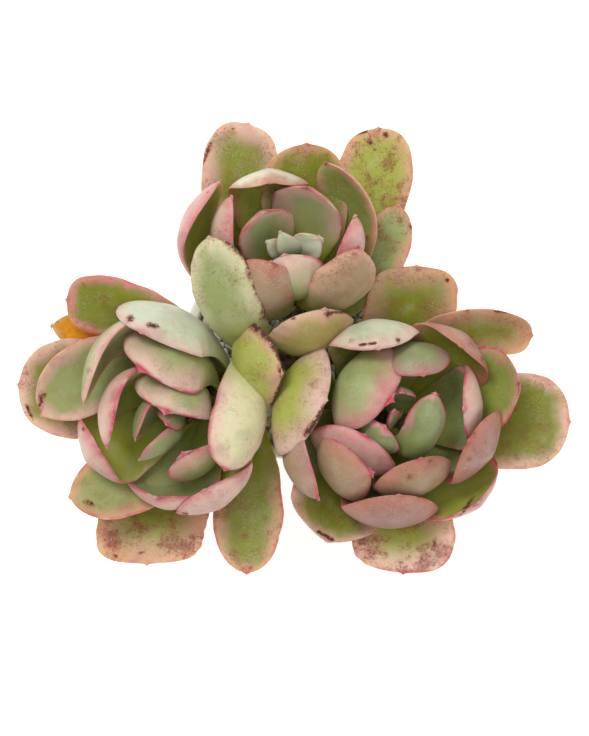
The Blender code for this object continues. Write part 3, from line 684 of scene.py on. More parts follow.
T = Tone
FINISHES = {
    "back_leaf_01": LeafFinish(T.OLIVE, T.BLUSH, T.SAGE, T.PEACH, 0.2, 0.6, 0.3, 6.0, scars=(
        Scar(-23.8, 51.5, 0.5, 0.9, (-21.8, 56.3)), Scar(-15.5, 60.6, 0.4, 0.8),)),
    "back_leaf_02": LeafFinish(T.OLIVE, T.PEACH, T.SAGE, T.PEACH, 0.4, 0.6, 0.4, 3.6),
    "back_leaf_03": LeafFinish(T.LIME, T.PEACH, T.SAGE, T.PEACH, 0.3, 1.0, 0.9, 4.5, scars=(
        Scar(18.0, 59.4, 0.4, 0.9, (21.0, 60.2)), Scar(21.8, 57.3, 0.9, 0.8), Scar(26.3, 59.2, 0.9, 0.85),)),
    "back_leaf_04": LeafFinish(T.SAGE, T.PEACH, T.SAGE, T.PEACH, 0.5, 0.6, 0.5, 3.5, scars=(
        Scar(33.2, 34.0, 0.9, 1.0), Scar(29.9, 35.6, 1.2, 0.5), Scar(29.6, 29.5, 0.5, 0.7),)),
    "back_leaf_05": LeafFinish(T.LIME, T.PEACH, T.BLUSH, T.ROSE, 0.4, 0.2, 0.1, 2.0, 6.0, scars=(
        Scar(-21.8, 41.8, 0.5, 0.6),)),
    "back_leaf_06": LeafFinish(T.LIME, T.SALMON, T.IVORY, T.PEACH, 0.3, 0.1, 0.1, 3.0, 3.5, scars=(
        Scar(-6.6, 45.7, 0.4, 0.8),)),
    "back_leaf_07": LeafFinish(T.LEAF_GREEN, T.PEACH, T.SAGE, T.PEACH, 0.3, 0.3, 0.2, 3.6, scars=(
        Scar(9.7, 50.2, 0.8, 0.75), Scar(20.9, 30.6, 0.8, 0.6),)),
    "back_leaf_08": LeafFinish(T.SAGE, T.BLUSH, T.SAGE, T.ROSE, 0.8, 0.1, 0.05, 7.0, scars=(
        Scar(4.6, 43.1, 0.5, 0.6),)),
    "back_leaf_09": LeafFinish(T.SAGE, T.BLUSH, T.SAGE, T.ROSE, 0.9, 0.1, 0.05, 5.0),
    "back_leaf_10": LeafFinish(T.OLIVE, T.ROSE, T.BLUSH, T.ROSE, 0.5, 0.4, 0.15, 3.0, 4.0),
    "back_leaf_11": LeafFinish(T.GLAUCOUS, T.SALMON, T.TAUPE, T.SALMON, 0.4, 0.3, 0.1, 4.0, 4.5, scars=(
        Scar(-3.8, 22.6, 0.9, 0.55),)),
    "back_leaf_12": LeafFinish(T.GLAUCOUS, T.SALMON, T.TAUPE, T.PEACH, 0.7, 0.6, 0.25, 4.0, 4.0, scars=(
        Scar(17.9, 27.8, 0.8, 0.95), Scar(17.0, 25.0, 1.3, 0.45),)),
    "back_leaf_13": LeafFinish(T.SAGE, T.ROSE, T.BLUSH, T.ROSE, 0.9, 0.2, 0.05, 4.0, 4.0),
    "back_leaf_14": LeafFinish(T.SAGE, T.ROSE, T.SAGE, T.BLUSH, 1.0, 0.15, 0.05, 4.0, 9.0),
    "back_leaf_15": LeafFinish(T.LEAF_GREEN, T.PEACH, T.SAGE, T.CREAM, 0.1, 0.6, 0.2, 4.0, 5.0, scars=(
        RimScar(1, 0.86, 1.0, 0.9, 0.6), RimScar(-1, 0.42, 1.0, 1.5, 0.66), Scar(-20.5, 20.4, 0.4, 0.6),)),
    "back_leaf_16": LeafFinish(T.OLIVE, T.PEACH, T.OCHRE, T.PEACH, 0.1, 0.2, 0.15, 4.0, 5.0, scars=(
        Scar(0.9, 8.3, 0.45, 0.95), Scar(10.2, 9.5, 1.0, 0.8), Scar(11.0, 9.9, 0.4, 0.9, (17.2, 10.3)),)),
    "left_leaf_01": LeafFinish(T.OLIVE, T.ROSE, T.SAGE, T.PEACH, 0.5, 0.4, 0.3, 3.0, scars=(
        Scar(-56.3, 17.8, 0.5, 0.85), Scar(-50.4, 14.2, 1.2, 0.4),)),
    "left_leaf_02": LeafFinish(T.AMBER, T.STRAW, T.STRAW, T.STRAW, 0.0, 0.5, 0.5, 1.8, 3.0, 0.0),
    "left_leaf_03": LeafFinish(T.OLIVE, T.BLUSH, T.SAGE, T.PEACH, 0.3, 0.6, 0.35, 5.0, scars=(
        Scar(-72.6, -6.2, 0.8, 0.5), Scar(-72.4, -15.0, 0.4, 0.85, (-70.8, -18.7)),)),
    "left_leaf_04": LeafFinish(T.SAGE, T.BLUSH, T.SAGE, T.ROSE, 0.5, 0.15, 0.2, 4.0, 6.0, scars=(
        Scar(-66.8, -12.0, 1.0, 0.65, (-68.2, -17.5)),)),
    "left_leaf_05": LeafFinish(T.SAGE, T.PEACH, T.SAGE, T.BLUSH, 0.4, 0.2, 0.2, 2.5, 4.0, scars=(
        Scar(-53.6, -5.6, 1.2, 0.42),)),
    "left_leaf_06": LeafFinish(T.LIME, T.PEACH, T.MINT, T.BLUSH, 0.5, 0.15, 0.1, 3.0, 4.0, 0.3, (
        Scar(-42.7, 8.3, 1.0, 0.9), Scar(-37.5, 6.6, 0.7, 0.9, (-35.5, 6.2)),)),
    "left_leaf_07": LeafFinish(T.LIME, T.ROSE, T.SAGE, T.BLUSH, 1.0, 0.3, 0.25, 4.0, 8.0),
    "left_leaf_08": LeafFinish(T.LIME, T.ROSE, T.SAGE, T.BLUSH, 1.0, 0.2, 0.25, 4.0, 5.0),
    "left_leaf_09": LeafFinish(T.SAGE, T.ROSE, T.CREAM, T.BLUSH, 0.9, 0.35, 0.05, 4.0, 4.5),
    "left_leaf_10": LeafFinish(T.LEAF_GREEN, T.ROSE, T.BLUSH, T.ROSE, 1.0, 0.2, 0.1, 2.0, 3.0),
    "left_leaf_11": LeafFinish(T.GLAUCOUS, T.ROSE, T.SAGE, T.ROSE, 1.0, 0.1, 0.05, 3.0, 5.0),
    "left_leaf_12": LeafFinish(T.LIME, T.BLUSH, T.BLUSH, T.ROSE, 0.8, 0.2, 0.1, 2.0, 4.0, scars=(
        Scar(-55.7, -21.4, 0.6, 0.9),)),
    "left_leaf_13": LeafFinish(T.SAGE, T.BLUSH, T.BLUSH, T.ROSE, 1.0, 0.1, 0.05, 4.0, 3.5),
    "left_leaf_14": LeafFinish(T.SAGE, T.PEACH, T.SAGE, T.PEACH, 0.8, 0.3, 0.3, 4.0, scars=(
        Scar(-56.0, -41.2, 0.6, 0.8, (-54.0, -42.0)), Scar(-52.0, -43.0, 0.5, 0.6),)),
    "left_leaf_15": LeafFinish(T.OLIVE, T.PEACH, T.SAGE, T.PEACH, 0.5, 1.0, 1.0, 10.0, scars=(
        Scar(-41.0, -55.9, 0.5, 0.8), Scar(-48.2, -56.6, 0.5, 0.9), Scar(-50.4, -53.2, 1.3, 0.5),
        Scar(-35.9, -53.7, 1.0, 0.5),)),
    "left_leaf_16": LeafFinish(T.LIME, T.ROSE, T.BLUSH, T.ROSE, 0.5, 0.3, 0.2, 3.0, 2.5, scars=(
        Scar(-28.4, -44.4, 0.8, 0.8),)),
    "left_leaf_17": LeafFinish(T.OLIVE, T.PEACH, T.SAGE, T.PEACH, 0.8, 0.8, 0.9, 4.5, scars=(
        Scar(-12.4, -51.2, 1.3, 0.5), Scar(-6.4, -46.8, 0.7, 0.6), Scar(-10.8, -60.0, 0.7, 0.6),)),
    "right_leaf_01": LeafFinish(T.OLIVE, T.PEACH, T.SAGE, T.PEACH, 0.5, 0.5, 0.3, 7.0, scars=(
        Scar(43.0, 19.2, 0.6, 1.0), Scar(35.2, 22.0, 0.7, 0.6),)),
    "right_leaf_02": LeafFinish(T.OLIVE, T.PEACH, T.SAGE, T.PEACH, 0.2, 0.5, 0.35, 7.0, scars=(
        Scar(40.8, 11.8, 0.9, 0.85), Scar(48.1, 11.0, 0.5, 0.85), Scar(55.6, 10.6, 0.4, 0.9, (60.3, 10.4)),)),
    "right_leaf_03": LeafFinish(T.OLIVE, T.PEACH, T.MINT, T.BLUSH, 0.5, 0.15, 0.1, 3.0, 4.0, 0.2, (
        Scar(18.6, 1.2, 0.35, 1.0, (22.7, 1.7)), Scar(28.8, 2.5, 0.6, 1.0), Scar(16.5, 2.3, 0.8, 0.5),)),
    "right_leaf_04": LeafFinish(T.OLIVE, T.SALMON, T.MAUVE, T.SALMON, 0.6, 0.3, 0.1, 5.0, 5.0, scars=(
        Scar(52.0, -2.4, 0.7, 0.6), Scar(48.6, 1.5, 1.0, 0.42),)),
    "right_leaf_05": LeafFinish(T.LEAF_GREEN, T.PEACH, T.MAUVE, T.SALMON, 1.0, 0.2, 0.1, 5.0, 6.0, scars=(
        Scar(61.6, -9.2, 0.7, 0.6),)),
    "right_leaf_06": LeafFinish(T.OLIVE, T.BLUSH, T.SAGE, T.PEACH, 0.5, 0.55, 0.35, 4.5, scars=(
        Scar(62.8, -29.4, 1.0, 0.6), Scar(59.5, -16.5, 0.4, 0.6, (63.5, -15.3)),)),
    "right_leaf_07": LeafFinish(T.LEAF_GREEN, T.PEACH, T.LIME, T.BLUSH, 0.2, 0.5, 0.25, 4.0, 8.0, scars=(
        Scar(12.9, -1.9, 0.5, 0.85), Scar(9.2, -15.3, 0.8, 0.9, (4.2, -22.6)), Scar(6.5, -9.0, 1.8, 0.4),)),
    "right_leaf_08": LeafFinish(T.SAGE, T.ROSE, T.SAGE, T.ROSE, 1.0, 0.15, 0.2, 4.0, 6.5),
    "right_leaf_09": LeafFinish(T.SAGE, T.ROSE, T.GLAUCOUS, T.MAUVE, 1.0, 0.1, 0.1, 4.0, 5.5),
    "right_leaf_10": LeafFinish(T.GLAUCOUS, T.ROSE, T.BLUSH, T.ROSE, 1.0, 0.05, 0.05, 1.5, 3.0),
    "right_leaf_11": LeafFinish(T.GLAUCOUS, T.SALMON, T.MAUVE, T.SALMON, 0.6, 0.4, 0.4, 4.0, 5.0, scars=(
        Scar(49.7, -18.2, 0.6, 0.95), Scar(48.9, -22.2, 1.3, 0.5), Scar(47.8, -29.4, 0.9, 0.45),)),
    "right_leaf_12": LeafFinish(T.GLAUCOUS, T.ROSE, T.GLAUCOUS, T.ROSE, 0.9, 0.1, 0.05, 3.0, 2.0),
    "right_leaf_13": LeafFinish(T.GLAUCOUS, T.SALMON, T.MAUVE, T.ROSE, 0.9, 0.2, 0.05, 3.0, 4.5),
    "right_leaf_14": LeafFinish(T.GLAUCOUS, T.SALMON, T.TAUPE, T.SALMON, 1.0, 0.2, 0.05, 3.0, 5.0),
    "right_leaf_15": LeafFinish(T.GLAUCOUS, T.SALMON, T.TAUPE, T.SALMON, 0.6, 0.3, 0.1, 3.0, 5.0, scars=(
        Scar(37.4, -29.7, 1.1, 0.5), Scar(31.8, -33.9, 1.3, 0.42),)),
    "right_leaf_16": LeafFinish(T.GLAUCOUS, T.SALMON, T.MAUVE, T.SALMON, 0.8, 0.3, 0.1, 3.0, 6.0, scars=(
        Scar(34.5, -39.4, 0.8, 0.5),)),
    "right_leaf_17": LeafFinish(T.SAGE, T.ROSE, T.TAUPE, T.MAUVE, 0.7, 0.2, 0.2, 3.0, 5.0),
    "right_leaf_18": LeafFinish(T.LIME, T.ROSE, T.BLUSH, T.ROSE, 1.0, 0.3, 0.1, 2.5, 3.0, scars=(
        Scar(45.8, -45.0, 0.35, 0.8, (50.3, -40.0)),)),
    "right_leaf_19": LeafFinish(T.OLIVE, T.BLUSH, T.SAGE, T.PEACH, 0.4, 0.5, 0.4, 5.5, scars=(
        Scar(7.7, -49.4, 0.5, 0.9, (11.4, -51.6)), Scar(13.6, -53.0, 0.7, 0.85, (18.4, -54.6)),)),
    "right_leaf_20": LeafFinish(T.LIME, T.BLUSH, T.SAGE, T.PEACH, 0.8, 1.0, 1.0, 9.0, scars=(
        Scar(36.7, -56.8, 1.7, 0.55), Scar(25.9, -56.3, 1.3, 0.5), Scar(39.9, -53.2, 1.8, 0.5),)),
    "right_leaf_21": LeafFinish(T.LEAF_GREEN, T.PEACH, T.LIME, T.PEACH, 0.1, 0.6, 0.15, 4.0, 5.0, scars=(
        RimScar(1, 0.5, 1.0, 2.2), RimScar(-1, 0.8, 1.0, 1.0),)),
    "back_bud": LeafFinish(T.MINT, T.MINT, T.MINT, T.BLUSH, 0.3, 0.0, 0.0, 1.2, 1.0, 0.25),
    "left_bud": LeafFinish(T.GLAUCOUS, T.ROSE, T.GLAUCOUS, T.MAUVE, 0.5, 0.0, 0.0, 1.0, 2.0, 0.12),
    "right_bud": LeafFinish(T.GLAUCOUS, T.ROSE, T.GLAUCOUS, T.ROSE, 0.5, 0.0, 0.0, 1.0, 1.5, 0.12),
}


@dataclass
class LeafShape:
    """Works out one leaf's surface."""

    leaf: Leaf
    head: Head
    seed: int
    lift: float
    thickness: float = 4.4
    base_width: float = 8.0
    stem_radius: float = 4.2
    stem_tip_radius: float = 2.4
    clearance: float = 0.35
    inner_share: float = 0.32
    keel: float = 0.5
    dent: float = 0.22
    curl: float = 0.25
    wave: float = 0.024
    fine_wave: float = 0.012
    spine_width: float = 1.2
    spine_depth: float = 0.42
    stations: int = 58
    sides: int = 48
    spine_rings: int = 8

    def foot(self) -> np.ndarray:
        """Where the leaf starts: on the skin of its head's stem."""
        if self.leaf.foot:
            return np.array(self.leaf.foot, float)
        thinner = (self.stem_radius - self.stem_tip_radius) * (1 - self.leaf.node)
        centre = np.array(self.head.crown) + self.head.axis * (self.leaf.node - 1) * self.head.leafy_length
        radius = self.stem_tip_radius + thinner + self.clearance
        return centre + square_to(direction(self.leaf.turn), self.head.axis) * radius

    def midrib(self, s: np.ndarray) -> tuple[np.ndarray, np.ndarray, np.ndarray, float]:
        """The midrib, a parabola from the foot over the belly to the tip, walked at an even pace.

        Args:
            s: shares of its length.

        Returns:
            Its points, its directions, its knee and its length.
        """
        foot, belly, tip = self.foot(), np.array(self.leaf.belly, float), np.array(self.leaf.tip, float)
        lower, upper = np.linalg.norm(belly - foot), np.linalg.norm(tip - belly)
        b = float(np.clip(lower / (lower + upper), 0.45, 0.72))
        knee = (belly - (1 - b) ** 2 * foot - b**2 * tip) / (2 * b * (1 - b))
        t = np.linspace(0, 1, 201)[:, None]
        curve = (1 - t) ** 2 * foot + 2 * t * (1 - t) * knee + t**2 * tip
        walked = np.concatenate([[0], np.cumsum(np.linalg.norm(np.diff(curve, axis=0), axis=1))])
        t = np.interp(s * walked[-1], walked, t[:, 0])[:, None]
        points = (1 - t) ** 2 * foot + 2 * t * (1 - t) * knee + t**2 * tip
        along = 2 * (1 - t) * (knee - foot) + 2 * t * (tip - knee)
        return points, along / np.linalg.norm(along, axis=1, keepdims=True), knee, float(walked[-1])

    def normals(self, s: np.ndarray, along: np.ndarray) -> np.ndarray:
        """The way the inner face looks: the given way where the leaf is widest, carried to both ends."""
        widest = int(np.argmin(np.abs(s - self.leaf.widest)))
        up = np.zeros_like(along)
        up[widest] = square_to(direction(*self.leaf.faces), along[widest])
        for i in range(widest + 1, len(up)):
            up[i] = square_to(up[i - 1], along[i])
        for i in range(widest - 1, -1, -1):
            up[i] = square_to(up[i + 1], along[i])
        return up

    def half_width(self, s: np.ndarray) -> np.ndarray:
        """Half width: it opens from the foot on a sine and closes on a rounded end."""
        leaf = self.leaf
        foot = self.base_width / leaf.width
        opening = foot + (1 - foot) * np.sin(np.pi / 2 * np.clip(s / leaf.widest, 0, 1)) ** 1.3
        end = np.clip((s - leaf.widest) / (1 - leaf.widest), 0, 1)
        closing = (1 - end ** (1.5 + 1.3 * leaf.blunt)) ** (0.85 - 0.35 * leaf.blunt)
        return leaf.width / 2 * opening * closing

    def shell(self, scars: tuple[Scar | RimScar, ...]) -> Shell:
        """The leaf's closed surface.

        A section is a lens: across it runs the cosine of the angle times the half width, and through it the
        sine times the thickness, a third of it on the inner face and the rest on the outer. Both margins rise
        with the square of the share across, curl a little and wave in a long and a short ripple. The outer
        face has a low keel towards the tip, and both faces have soft dents. A short spine, broad at its root,
        carries on past the tip.

        Args:
            scars: what marks the leaf.

        Returns:
            The shell, with the marks along, inner, edge and scar.
        """
        leaf, seed = self.leaf, self.seed
        s = np.sin(np.linspace(0, np.pi / 2, self.stations)) * 0.9985
        rib, along, knee, length = self.midrib(s)
        up = self.normals(s, along)
        across = np.cross(along, up)
        angle = np.linspace(0, 2 * np.pi, self.sides, endpoint=False)[None]
        s, u, v = np.broadcast_arrays(s[:, None], np.cos(angle), np.sin(angle))
        half = self.half_width(s)
        wave = self.wave * ripple(seed, s * 5.0, np.sign(u) * 1.7)
        wave = wave + self.fine_wave * ripple(seed + 11, s * 13.0, np.sign(u) * 2.3)
        wave = 1 + wave * smooth(0.2, 0.6, s)
        thick = self.thickness * leaf.thick * (0.55 + 0.45 * np.sin(np.pi * s**0.8)) * np.sqrt(1 - s**6)
        inner, outer = self.inner_share * np.abs(v) ** 1.15, (1 - self.inner_share) * np.abs(v) ** 1.1
        lens = np.where(v > 0, inner, -outer) * thick
        keel = self.keel * np.exp(-((u / 0.22) ** 2)) * smooth(0.45, 0.95, s) * np.sqrt(1 - s**6) * (v < 0)
        dents = self.dent * ripple(seed + 7, s * 2.6, u * 1.3) * np.abs(v) * smooth(0.1, 0.4, s)
        curl = self.curl * ripple(seed + 3, s * 3.2, np.sign(u)) * u**2 * smooth(0.4, 0.8, s)
        rise = leaf.cup * half * u**2 * np.clip(2.5 * s, 0, 1) + lens - keel
        rise = rise + (dents + curl) * np.sqrt(1 - s**4)
        rings = rib[:, None] + across[:, None] * (half * wave * u)[..., None] + up[:, None] * rise[..., None]
        edge = np.minimum(np.hypot(half * (1 - np.abs(u)), lens), (1 - s) * length)
        tip = np.array(leaf.tip, float)
        way = unit(tip - knee)
        k = np.linspace(0, 1, self.spine_rings, endpoint=False)[:, None, None] ** 0.8 + 0.02
        broad = self.spine_width * min(leaf.point, 2.0) * (1 - k) ** 2.6 + 0.3 * (1 - k)
        deep = self.spine_depth * (1 - k)
        spine = tip + way * leaf.point * k
        spine = spine + across[-1] * u[:1, :, None] * broad + up[-1] * v[:1, :, None] * deep
        lift = (0, 0, self.lift)
        rings = np.concatenate([rings, spine]) + lift
        tail = np.ones((self.spine_rings, self.sides))
        along_all, across_all, edge_all = (
            np.concatenate([value, share * tail]) for value, share in ((s, 1), (u, 0), (edge, 0)))
        wound = np.zeros(rings.shape[:2])
        for scar in scars:
            if isinstance(scar, RimScar):
                wound = np.maximum(wound, scar.strength(along_all, across_all, edge_all))
            else:
                wound = np.maximum(wound, scar.strength(rings))
        marks = {
            "along": along_all,
            "inner": np.concatenate([smooth(-0.12, 0.12, v), 0.5 * tail]),
            "edge": edge_all,
            "scar": wound,
        }
        return loft(rings, self.foot() + lift, tip + way * leaf.point + lift, marks)


@dataclass
class Rosette:
    """One head of the plant: its leaves and its bud."""

    name: str
    head: Head
    leaves: list[Leaf]
    bud_leaves: list[Leaf]
    lift: float
    groups: ShaderGroups

    def build(self) -> list[bpy.types.Object]:
        """Makes every leaf and the bud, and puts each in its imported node's place."""
        made = []
        for number, leaf in enumerate(self.leaves, 1):
            node = f"{self.name}_leaf_{number:02d}"
            finish = FINISHES[node]
            shape = LeafShape(leaf, self.head, number * 31 + len(self.name), self.lift)
            made.append(self.place(node, shape.shell(finish.scars), finish))
        finish = FINISHES[f"{self.name}_bud"]
        bud = None
        for number, leaf in enumerate(self.bud_leaves):
            shell = LeafShape(leaf, self.head, 400 + number, self.lift, stations=36, sides=32).shell(())
            bud = shell if bud is None else bud.joined(shell)
        made.append(self.place(f"{self.name}_bud", bud, finish))
        return made

    def place(self, node: str, shell: Shell, finish: LeafFinish) -> bpy.types.Object:
        """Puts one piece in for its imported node."""
        piece = shell.piece(f"{node}_skin", finish.material(f"{node}_skin", self.groups))
        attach(piece, "root")
        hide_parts(node)
        return piece


@dataclass
class Stem:
    """The short woody trunk and its three branches."""

    lift: float
    groups: ShaderGroups
    radius: float = 4.2
    tip_radius: float = 2.4
    depth: float = 16.0
    crest_height: float = 0.35
    crest_gap: float = 3.0
    sides: int = 40
    rings: int = 90

    def limb(self, path: list[Vec], radii: list[float], seed: int) -> Shell:
        """A tube along a smooth curve through the path.

        Its radius swells in low crests where old leaves sat, and is uneven all round.
        """
        nodes = np.array(path, float)
        knots = np.concatenate([[0], np.cumsum(np.linalg.norm(np.diff(nodes, axis=0), axis=1))])
        t = np.linspace(0, knots[-1], self.rings)
        centre = np.stack([np.interp(t, knots, nodes[:, i]) for i in range(3)], axis=1)
        for _ in range(12):
            centre[1:-1] = (centre[:-2] + 2 * centre[1:-1] + centre[2:]) / 4
        along = np.gradient(centre, axis=0)
        along /= np.linalg.norm(along, axis=1, keepdims=True)
        side = np.zeros_like(centre)
        last = np.array([1.0, 0.2, 0.0])
        for i, way in enumerate(along):
            last = square_to(last, way)
            side[i] = last
        other = np.cross(along, side)
        angle = np.linspace(0, 2 * np.pi, self.sides, endpoint=False)
        t, angle = np.broadcast_arrays(t[:, None], angle)
        crest = np.abs(np.sin(np.pi * t / self.crest_gap + 0.8 * np.sin(2 * angle + seed))) ** 3
        uneven = ripple(seed, t / 5, np.cos(angle) * 1.3, np.sin(angle))
        radius = np.interp(t, knots, radii) * (1 + 0.05 * uneven) + self.crest_height * crest
        rings = centre[:, None] + radius[..., None] * (
            np.cos(angle)[..., None] * side[:, None] + np.sin(angle)[..., None] * other[:, None])
        lift = (0, 0, self.lift)
        return loft(rings + lift, centre[0] + lift, centre[-1] + lift, {"crest": crest})

    def build(self) -> bpy.types.Object:
        """Makes the trunk and the branches as one piece."""
        fork = np.array([0.0, -3.0, 6.0])
        trunk = [(0, -2, -self.depth), (0, -2.5, -self.depth / 2), tuple(fork), tuple(fork + (0, 0, 3))]
        shell = self.limb(trunk, [self.radius * k for k in (0.7, 1.0, 1.15, 0.9)], 1)
        for seed, head in enumerate(HEADS.values(), 2):
            crown = np.array(head.crown, float)
            low = crown - head.axis * head.leafy_length
            start = fork - (0, 0, 1.0)
            path = [start, (start + low) / 2 - (0, 0, 1.0), low, (low + crown) / 2, crown]
            shell = shell.joined(self.limb(path, list(np.linspace(self.radius, self.tip_radius, 5)), seed))
        piece = shell.piece("stem_bark", self.finish())
        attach(piece, "root")
        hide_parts("stem")
        return piece

    def finish(self) -> bpy.types.Material:
        """Dry scaly bark, paler on the crests of the old leaf scars."""
        made, bench, shader = new_material("stem_bark")
        flake = bench.between(bench.noise(420, 5, 0.65), 0.42, 0.66)
        colour = bench.mix(flake, Tone.BARK, Tone.BARK_LIGHT)
        colour = bench.mix(bench.math("MULTIPLY", bench.mark("crest"), 0.6), colour, Tone.BARK_LIGHT)
        bench.feed(shader, {
            "Base Color": self.groups.mottled(bench, colour, 0.35, 700.0),
            "Roughness": bench.spread(flake, 0.95, 0.72),
            "Normal": self.groups.rough_skin(bench, (1.5, 0.6), 0.8, 0.8),
        })
        return made


# ---------------------------------------------------------------- the pot and its fill


@dataclass
class Pot:
    """The plain turned pot."""

    groups: ShaderGroups
    height: float = 58.0
    rim_radius: float = 31.0
    foot_radius: float = 24.0
    wall: float = 3.2
    floor: float = 4.5
    edge: float = 1.1
    drain_holes: int = 3
    drain_radius: float = 3.2
    drain_circle: float = 12.0
    fill_drop: float = 3.5
    grain_gap: float = 1.0
    segments: int = 144

    def arc(self, centre: tuple[float, float], start: float, end: float) -> list[tuple[float, float]]:
        """Points of a rounded edge in the profile plane."""
        angles = np.radians(np.linspace(start, end, 9))
        return [(centre[0] + self.edge * math.cos(a), centre[1] + self.edge * math.sin(a)) for a in angles]

    def profile(self) -> np.ndarray:
        """Radius and height from the middle of the foot up the outside, over the rim and to the floor."""
        foot, rim, top = self.foot_radius, self.rim_radius, self.height
        line = [(6.0, 0.0), (16.0, 0.0), (20.0, 0.0)] + self.arc((foot - self.edge, self.edge), -90, 0)
        for k in np.linspace(0.05, 0.95, 16):
            line.append((foot + (rim - foot) * k, self.edge + (top - 2 * self.edge) * k))
        line += self.arc((rim - self.edge, top - self.edge), 0, 90)
        line += self.arc((rim - self.wall + self.edge, top - self.edge), 90, 180)
        inside = foot - self.wall
        line += [(inside + 0.4, self.floor + 1.2), (inside - 0.6, self.floor)]
        line += [(14.0, self.floor), (6.0, self.floor)]
        return np.array(line)

    def turned(self) -> Shell:
        """The profile turned round Z: radius times cosine and sine, at its height."""
        line = self.profile()
        angle = np.linspace(0, 2 * np.pi, self.segments, endpoint=False)
        radius, height = line[:, :1], line[:, 1:]
        rings = np.stack([radius * np.cos(angle), radius * np.sin(angle), height + 0 * angle], axis=-1)
        return loft(rings, np.zeros(3), np.array([0, 0, self.floor]))

    def build(self) -> bpy.types.Object:
        """Makes the pot and cuts its drain holes."""
        piece = self.turned().piece("pot_shell", self.finish())
        angle = np.linspace(0, 2 * np.pi, 40, endpoint=False)
        cutters = []
        for k in range(self.drain_holes):
            turn = 2 * math.pi * k / self.drain_holes
            x = self.drain_circle * math.cos(turn) + self.drain_radius * np.cos(angle)
            y = self.drain_circle * math.sin(turn) + self.drain_radius * np.sin(angle)
            ring = np.stack([x, y, 0 * angle], -1)
            rings = np.stack([ring - (0, 0, self.floor), ring + (0, 0, 2 * self.floor)])
            cutter = loft(rings, rings[0].mean(0), rings[1].mean(0)).piece(f"drain_{k}", self.finish())
            cut = piece.modifiers.new("drain", "BOOLEAN")
            cut.operation, cut.solver, cut.object = "DIFFERENCE", "EXACT", cutter
            cutters.append(cutter)
        bpy.context.view_layer.update()
        graph = bpy.context.evaluated_depsgraph_get()
        cut_mesh = bpy.data.meshes.new_from_object(piece.evaluated_get(graph))
        piece.modifiers.clear()
        piece.data = cut_mesh
        for cutter in cutters:
            bpy.data.objects.remove(cutter)
        cut_mesh.materials.clear()
        cut_mesh.materials.append(bpy.data.materials["pot_shell"])
        cut_mesh.shade_smooth()
        cut_mesh.set_sharp_from_angle(angle=math.radians(35))
        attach(piece, "root")
        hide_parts("pot")
        return piece

    def finish(self) -> bpy.types.Material:
        """Matt white glaze: faint throwing rings, iron specks, and a warmer body at the foot."""
        if "pot_shell" in bpy.data.materials:
            return bpy.data.materials["pot_shell"]
        made, bench, shader = new_material("pot_shell")
        place = bench.lay("ShaderNodeTexCoord").outputs["Object"]
        height = bench.lay("ShaderNodeSeparateXYZ", {0: place}).outputs[2]
        wavy = bench.math("ADD", height, bench.math("MULTIPLY", bench.noise(120), 3.0 * MM))
        low = bench.between(wavy, 6.5 * MM, 3.0 * MM)
        colour = self.groups.mottled(bench, bench.mix(low, Tone.GLAZE, Tone.GLAZE_WARM), 0.05, 60.0)
        cells = bench.lay("ShaderNodeTexVoronoi", {"Vector": place, "Scale": 260.0})
        chance = bench.lay("ShaderNodeSeparateColor", {0: cells.outputs["Color"]}).outputs[0]
        dot = bench.between(cells.outputs["Distance"], 0.16, 0.06)
        speck = bench.math("MULTIPLY", dot, bench.between(chance, 0.8, 0.86))
        rings = bench.math("SINE", bench.math("MULTIPLY", height, 1600.0))
        rings = bench.math("MULTIPLY", rings, 0.12)
        bench.feed(shader, {
            "Base Color": bench.mix(bench.math("MULTIPLY", speck, 0.55), colour, Tone.RUST),
            "Roughness": bench.spread(low, 0.42, 0.8),
            "Normal": self.groups.rough_skin(bench, (0.35, 0.05), 0.3, 0.4, rings),
        })
        return made


